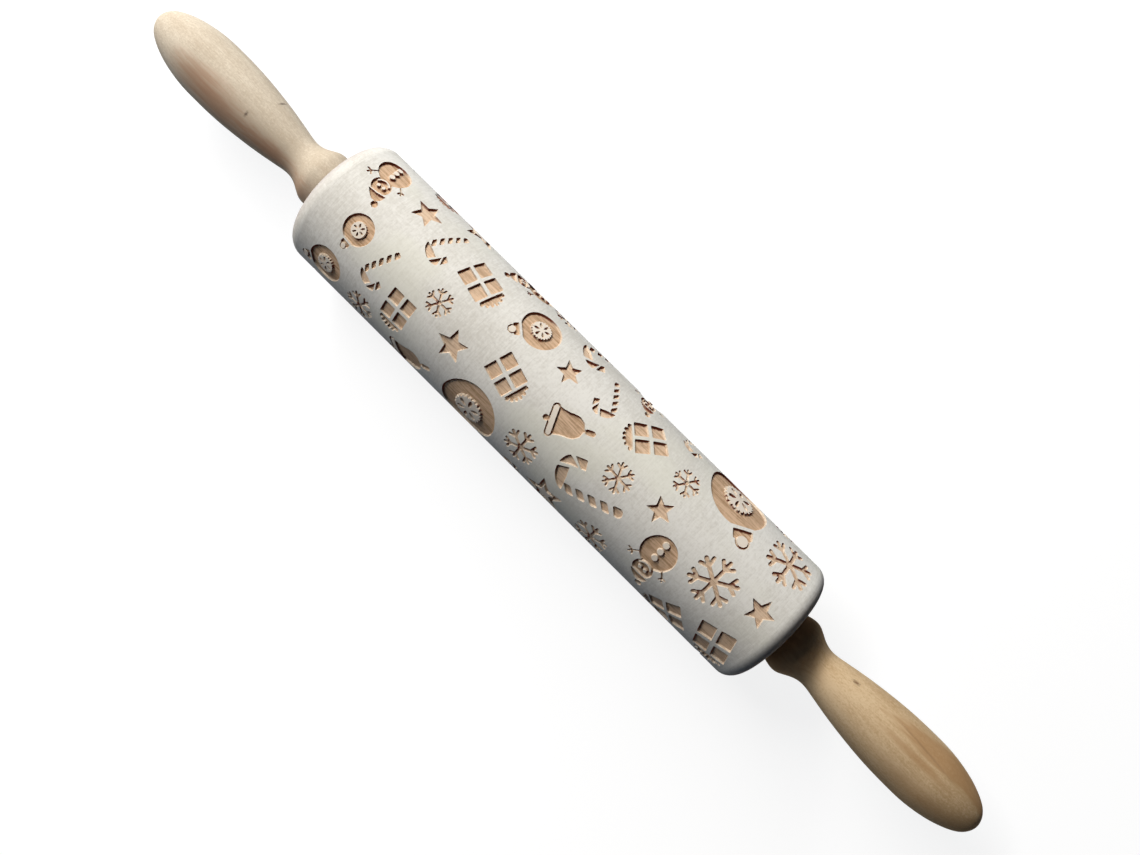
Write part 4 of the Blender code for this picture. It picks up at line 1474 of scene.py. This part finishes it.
@dataclass(frozen=True)
class Handle:
    """A turned handle: a bead beside the barrel, a neck, a swell and a round end, in millimetres."""

    side: Side
    finish: HandleWood
    bore_radius: float = 4.5
    bore_end: float = 136.8
    bore_chamfer: float = 0.6
    # radius of the flat face towards the barrel
    face_radius: float = 9.2
    segments: int = 112
    steps: int = 5
    # distance from the barrel's end, and radius
    profile: tuple[tuple[float, float], ...] = (
        (0.8, 9.77), (2.6, 10.55), (5.2, 11.55), (8.0, 12.08), (10.2, 11.85), (12.4, 10.85), (15.1, 9.45),
        (17.6, 8.55), (20.3, 8.19), (23.4, 8.45), (27.1, 9.13), (36.1, 10.72), (46.2, 12.05), (56.2, 12.92),
        (66.3, 13.20), (76.3, 12.90), (86.3, 11.09), (94.4, 8.00), (98.6, 4.60), (100.4, 0.0),
    )

    def build(self) -> None:
        """Make the handle: its outer curve, closed by the blind bore for the insert."""
        end = PIN.barrel_end / MM
        outside = smooth_curve(np.array(self.profile), self.steps, round_end=True)
        outside[:, 1] = np.maximum(outside[:, 1], 0)
        start = PIN.handle_start / MM - end
        ease, radius = self.bore_chamfer, self.bore_radius
        bore = [(self.bore_end - end, 0), (self.bore_end - end, radius), (start + ease, radius)]
        bore += [(start, radius + ease), (start, self.face_radius)]
        outline = (np.vstack([bore, outside]) + (end, 0)) * (self.side.value, 1)
        points, faces = turned(outline * MM, self.segments, closed=False)
        label = self.side.label
        piece = add_piece(f"turned_handle_{label}", points, faces, self.finish.build())
        dress(piece, "axle_assembly", self.finish.name, f"handle_{label}")


def threaded(start: float, end: float, root: float, crest: float, pitch: float, segments: int) -> Array:
    """Draw a screw thread: the radius rises and falls once in each pitch, later by a turn's share.

    Args:
        start: Where the thread starts along X.
        end: Where it ends.
        root: Its smallest radius.
        crest: Its largest radius.
        pitch: Length of one turn.
        segments: Steps around the axis.

    Returns:
        Points by ring and place around it.
    """
    rings_per_turn = 6
    x = np.linspace(start, end, round((end - start) / pitch * rings_per_turn) + 1)[:, None]
    angles = np.arange(segments)[None] * (2 * math.pi / segments)
    wave = np.abs(((x / pitch - angles / (2 * math.pi)) % 1) * 2 - 1)
    fade = np.clip(np.minimum(x - start, end - x) / pitch, 0, 1)
    radius = root + (crest - root) * wave * fade
    return np.stack([x + 0 * angles, radius * np.sin(angles), radius * np.cos(angles)], -1)


@dataclass(frozen=True)
class Axle:
    """The steel rod with journals and screwed ends, its washers and the brass inserts, in millimetres."""

    rod_radius: float = 4.0
    shoulder: float = 110.4
    journal_radius: float = 2.8
    thread_radius: float = 2.7
    thread_depth: float = 0.45
    thread_pitch: float = 1.0
    rod_end: float = 133.8
    rod_ease: float = 0.4
    tip_length: float = 0.6
    tip_ease: float = 0.5
    washer_start: float = 116.8
    washer_thickness: float = 0.8
    washer_radius: float = 5.0
    washer_clearance: float = 0.2
    washer_ease: float = 0.12
    insert_start: float = 118.8
    insert_length: float = 13.0
    insert_radius: float = 4.3
    insert_bore: float = 3.0
    insert_depth: float = 0.5
    insert_pitch: float = 2.5
    insert_ease: float = 0.3
    sharp_degrees: float = 50.0
    segments: int = 48

    def build(self) -> None:
        """Make the rod, then a washer and an insert for each side."""
        steel, brass = STEEL.build(), BRASS.build()
        self.rod(steel)
        for side in Side:
            self.washer(side, steel)
            self.insert(side, brass)

    def rod(self, steel: Material) -> None:
        """Make the rod: a thread at each end, joined by the plain profile between them.

        Args:
            steel: Its material.
        """
        start, end, shoulder, ease = PIN.handle_start / MM, self.rod_end, self.shoulder, self.rod_ease
        root, crest = self.thread_radius - self.thread_depth, self.thread_radius
        thread = threaded(start + ease, end - self.tip_length, root, crest, self.thread_pitch, self.segments)
        plain = [(shoulder - ease, self.rod_radius), (shoulder, self.rod_radius - ease)]
        plain += [(shoulder, self.journal_radius), (start, self.journal_radius), (start + ease, root)]
        tip = plain_rings([(end, root - self.tip_ease), (end, 0)], self.segments)
        right = np.concatenate([plain_rings(plain, self.segments), thread, tip])
        rings = np.concatenate([(right * (-1, 1, 1))[::-1], right])
        poles = np.zeros(len(rings), bool)
        poles[[0, -1]] = True
        points, faces = joined_rings(rings * MM, poles, closed=False)
        piece = add_piece("steel_rod", points, faces, steel, self.sharp_degrees)
        dress(piece, "axle_assembly", "steel", "axle_rod")

    def washer(self, side: Side, steel: Material) -> None:
        """Make a flat ring with eased edges.

        Args:
            side: Its side of the pin.
            steel: Its material.
        """
        start, end = self.washer_start, self.washer_start + self.washer_thickness
        bore, radius, ease = self.journal_radius + self.washer_clearance, self.washer_radius, self.washer_ease
        profile = [(start, bore), (start, radius - ease), (start + ease, radius)]
        profile += [(end - ease, radius), (end, radius - ease), (end, bore)]
        points, faces = turned(np.array(profile) * (side.value, 1) * MM, self.segments, closed=True)
        piece = add_piece(f"spacer_washer_{side.label}", points, faces, steel)
        dress(piece, "axle_assembly", "steel", f"washer_{side.label}")

    def insert(self, side: Side, brass: Material) -> None:
        """Make a sleeve whose outer thread bites into the wood.

        Args:
            side: Its side of the pin.
            brass: Its material.
        """
        start, end = self.insert_start, self.insert_start + self.insert_length
        depth, ease, bore, crest = self.insert_depth, self.insert_ease, self.insert_bore, self.insert_radius
        root = crest - depth
        outer = threaded(start + depth, end - depth, root, crest, self.insert_pitch, self.segments)
        first = plain_rings([(start + ease, bore), (start, bore + ease), (start, root - ease)], self.segments)
        last = plain_rings([(end, root - ease), (end, bore + ease), (end - ease, bore)], self.segments)
        rings = np.concatenate([first, outer, last]) * (side.value, 1, 1)
        points, faces = joined_rings(rings * MM, np.zeros(len(rings), bool), closed=True)
        piece = add_piece(f"threaded_insert_{side.label}", points, faces, brass, self.sharp_degrees)
        dress(piece, "axle_assembly", "brass", f"handle_insert_{side.label}")


@dataclass(frozen=True)
class BallBearing:
    """A ball bearing in one end of the barrel, in millimetres."""

    side: Side
    face: float = 116.6
    width: float = 6.0
    bore: float = 3.0
    radius: float = 9.5
    ball_radius: float = 1.75
    pitch_radius: float = 6.25
    race_clearance: float = 0.2
    inner_shoulder: float = 4.9
    outer_shoulder: float = 7.6
    shield_radius: float = 8.1
    shield_thickness: float = 0.35
    shield_inset: float = 0.15
    shield_clearance: float = 0.2
    shield_gap: float = 0.25
    ball_count: int = 7
    segments: int = 64
    ease: float = 0.3

    @property
    def middle(self) -> float:
        """Place of the balls' centres along X."""
        return self.face - self.width / 2

    def race(self, shoulder: float) -> Array:
        """Draw the ball groove of a ring: an arc about the balls' centres, cut off at the ring's shoulder.

        Args:
            shoulder: The shoulder's radius.

        Returns:
            Rows of x and radius.
        """
        groove = self.ball_radius + self.race_clearance
        rise = shoulder - self.pitch_radius
        half = math.acos(abs(rise) / groove)
        angles = np.linspace(-half, half, 13)
        radius = self.pitch_radius + math.copysign(groove, rise) * np.cos(angles)
        return np.stack([self.middle + groove * np.sin(angles), radius], 1)

    def build(self, ring_steel: Material, shield_steel: Material) -> None:
        """Make the rings, the shield and the balls.

        Args:
            ring_steel: Material of rings and balls.
            shield_steel: Material of the shield.
        """
        face, ease, shoulder = self.face, self.ease, self.inner_shoulder
        start = face - self.width
        head = [(start + ease, self.bore), (start, self.bore + ease), (start, shoulder)]
        tail = [(face, shoulder), (face, self.bore + ease), (face - ease, self.bore)]
        inner = np.vstack([head, self.race(shoulder), tail])
        seat, shoulder = self.shield_radius + self.shield_clearance, self.outer_shoulder
        step = face - 2 * self.shield_inset - self.shield_thickness
        head = [(start + ease, self.radius), (start, self.radius - ease), (start, shoulder)]
        tail = [(step, shoulder), (step, seat), (face, seat), (face, self.radius - ease)]
        outer = np.vstack([head, self.race(shoulder), tail, (face - ease, self.radius)])
        plate_end, plate_bore = face - self.shield_inset, self.inner_shoulder + self.shield_gap
        plate_start = plate_end - self.shield_thickness
        plate = [(plate_start, plate_bore), (plate_start, self.shield_radius)]
        plate = np.array([*plate, (plate_end, self.shield_radius), (plate_end, plate_bore)])
        self.ring("inner_ring", inner, "axle_assembly", "bearing_steel", ring_steel)
        self.ring("outer_ring", outer, "barrel", "bearing_steel", ring_steel)
        self.ring("shield", plate, "barrel", "steel", shield_steel)
        for number in range(1, self.ball_count + 1):
            self.ball(number, ring_steel)

    def ring(self, part: str, profile: Array, body: str, slot: str, metal: Material) -> None:
        """Make one turned ring of the bearing.

        Args:
            part: Its name in the names of nodes.
            profile: Rows of x and radius.
            body: The body that it moves with.
            slot: Its material slot.
            metal: Its material.
        """
        points, faces = turned(profile * (self.side.value, 1) * MM, self.segments, closed=True)
        label = self.side.label
        dress(add_piece(f"{part}_{label}", points, faces, metal), body, slot, f"bearing_{part}_{label}")

    def ball(self, number: int, metal: Material) -> None:
        """Make one ball, a turned half circle: x = r cos t and radius = r sin t, carried to its place.

        Args:
            number: Its number in the cage.
            metal: Its material.
        """
        t = np.linspace(0, math.pi, 17)
        profile = np.stack([self.ball_radius * np.cos(t), self.ball_radius * np.sin(t)], 1)
        profile[[0, -1], 1] = 0
        points, faces = turned(profile, 24, closed=False)
        low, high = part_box(f"bearing_ball_{self.side.label}_{number}")
        centre = np.array((low + high) / 2) - (0.0, 0.0, PIN.axis_height)
        label = f"{self.side.label}_{number}"
        piece = add_piece(f"steel_ball_{label}", points * MM + centre, faces, metal, 80.0)
        dress(piece, f"ball_{label}", "bearing_steel", f"bearing_ball_{label}")


def refinish_cages() -> None:
    """Give the two cages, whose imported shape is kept, their finish."""
    metal = CAGE_STEEL.build()
    for side in Side:
        cage = frame["nodes"][f"bearing_cage_{side.label}"]
        for slot in cage.material_slots:
            slot.material = metal
        LOG.info("%s keeps its packed shape", cage.name)


# Studio


@dataclass(frozen=True)
class Lamp:
    """A rectangular lamp that faces the pin, its length lying across the pin; sizes in metres."""

    name: str
    direction: Triple
    distance: float
    width: float
    length: float
    power: float
    colour: Triple

    def build(self) -> None:
        """Make the lamp."""
        data = bpy.data.lights.new(self.name, "AREA")
        data.shape, data.size, data.size_y = "RECTANGLE", self.width, self.length
        data.energy, data.color = self.power, self.colour
        made = bpy.data.objects.new(self.name, data)
        direction = Vector(self.direction).normalized()
        long_axis = direction.cross(Vector((1.0, 0.0, 0.0))).normalized()
        axes = Matrix((long_axis.cross(direction), long_axis, direction)).transposed()
        place = direction * self.distance + Vector((0, 0, PIN.axis_height))
        made.matrix_world = Matrix.Translation(place) @ axes.to_4x4()
        bpy.context.scene.collection.objects.link(made)


KEY_LAMP = Lamp("key_lamp", (-0.70, 0.35, 0.625), 1.15, 0.16, 1.12, 18.7, (1.0, 0.975, 0.94))
FILL_LAMP = Lamp("fill_lamp", (-0.50, -0.78, 0.38), 1.0, 0.5, 0.5, 0.75, (0.58, 0.74, 1.0))
RIM_LAMP = Lamp("rim_lamp", (-0.55, 0.82, 0.16), 1.0, 0.3, 0.3, 1.6, (0.60, 0.78, 1.0))


@dataclass(frozen=True)
class Studio:
    """The camera, a key lamp from the upper left, two weak bluish ones, a dim room and a white floor."""

    camera_place: Triple = (0.031696, -0.001149, 0.403700)
    camera_right: Triple = (0.70937, 0.70357, -0.04217)
    camera_up: Triple = (-0.70233, 0.71062, 0.04175)
    camera_back: Triple = (0.05934, 0.0, 0.99824)
    lens: float = 31.538
    sensor: float = 36.0
    lamps: tuple[Lamp, ...] = (KEY_LAMP, FILL_LAMP, RIM_LAMP)
    room_colour: Triple = (0.004, 0.008, 0.016)
    floor_half: float = 6.0
    # the floor that is seen: its two tones and its own glow, and the tone that lights the object from below
    floor_tones: tuple[Triple, Triple] = ((0.24, 0.24, 0.24), (0.26, 0.26, 0.26))
    floor_glow: float = 0.85
    floor_dark: Triple = (0.05, 0.055, 0.06)
    # how far from the object the floor starts to fade and where it is plain white, in millimetres
    fade: tuple[float, float] = (350.0, 1100.0)

    def build(self) -> None:
        """Make the camera, the lamps, the room and the floor."""
        scene = bpy.context.scene
        scene.view_settings.view_transform = "Standard"
        scene.camera = self.camera()
        for lamp in self.lamps:
            lamp.build()
        self.room()
        self.floor()

    def camera(self) -> bpy.types.Object:
        """Make the camera at the photograph's place.

        Returns:
            The camera.
        """
        data = bpy.data.cameras.new("camera")
        data.lens, data.sensor_width = self.lens, self.sensor
        data.clip_start, data.clip_end = 0.01, 50.0
        made = bpy.data.objects.new("camera", data)
        axes = Matrix((self.camera_right, self.camera_up, self.camera_back)).transposed()
        made.matrix_world = Matrix.Translation(self.camera_place) @ axes.to_4x4()
        bpy.context.scene.collection.objects.link(made)
        return made

    @staticmethod
    def seen(graph: Graph) -> Value:
        """Tell the rays that show the background, straight or in gloss or glass.

        Args:
            graph: The material's or world's graph.

        Returns:
            1 for such rays.
        """
        path = graph.node("ShaderNodeLightPath", {}, {})
        kinds = ("Is Camera Ray", "Is Glossy Ray", "Is Transmission Ray")
        straight, gloss, glass = (Value(graph, path.outputs[kind]) for kind in kinds)
        return graph.math("MAXIMUM", graph.math("MAXIMUM", straight, gloss), glass)

    def room(self) -> None:
        """White where it is seen, and a dim bluish light on the object."""
        world = bpy.data.worlds.new("room")
        world.use_nodes = True
        bpy.context.scene.world = world
        graph = Graph.of_tree(world.node_tree)
        background = graph.tree.nodes["Background"]
        colour = graph.mix(self.seen(graph), self.room_colour, (1.0, 1.0, 1.0))
        graph.put(colour, background.inputs["Color"])

    def floor(self) -> None:
        """A wide floor: white with the object's shadow where it is seen, and dark to other rays.

        Far from the object, where the lamps no longer reach, the floor that is seen fades to plain white.
        """
        graph = Graph("floor")
        x, y, _ = graph.millimetres()
        far = graph.step(graph.length(x, y), *self.fade)
        white = (1.0, 1.0, 1.0)
        tone = graph.mix(graph.noise(graph.place()), *self.floor_tones)
        pale = graph.value("ShaderNodeBsdfDiffuse", {}, {"Color": tone})
        glow = graph.value("ShaderNodeEmission", {}, {"Color": white, "Strength": self.floor_glow})
        near = graph.value("ShaderNodeAddShader", {}, {0: pale, 1: glow})
        bright = graph.value("ShaderNodeEmission", {}, {"Color": white, "Strength": 1.0})
        shown = graph.value("ShaderNodeMixShader", {}, {0: far, 1: near, 2: bright})
        dark = graph.value("ShaderNodeBsdfDiffuse", {}, {"Color": self.floor_dark})
        both = graph.value("ShaderNodeMixShader", {}, {0: self.seen(graph), 1: dark, 2: shown})
        graph.put(both, graph.output.inputs["Surface"])
        mesh = bpy.data.meshes.new("floor")
        half = self.floor_half
        corners = [(-half, -half, 0), (half, -half, 0), (half, half, 0), (-half, half, 0)]
        mesh.from_pydata(corners, [], [(0, 1, 2, 3)])
        mesh.materials.append(graph.material)
        floor = bpy.data.objects.new("floor", mesh)
        bpy.context.scene.collection.objects.link(floor)


def main() -> None:
    """Build the pin's assemblies in order, then the studio."""
    logging.basicConfig(level=logging.INFO, format="%(name)s: %(message)s")
    Barrel().build(BarrelWood())
    Handle(Side.LEFT, LEFT_HANDLE_WOOD).build()
    Handle(Side.RIGHT, RIGHT_HANDLE_WOOD).build()
    Axle().build()
    ring_steel, shield_steel = BEARING_STEEL.build(), STEEL.build()
    for side in Side:
        BallBearing(side).build(ring_steel, shield_steel)
    refinish_cages()
    Studio().build()


if __name__ == "__main__":
    main()
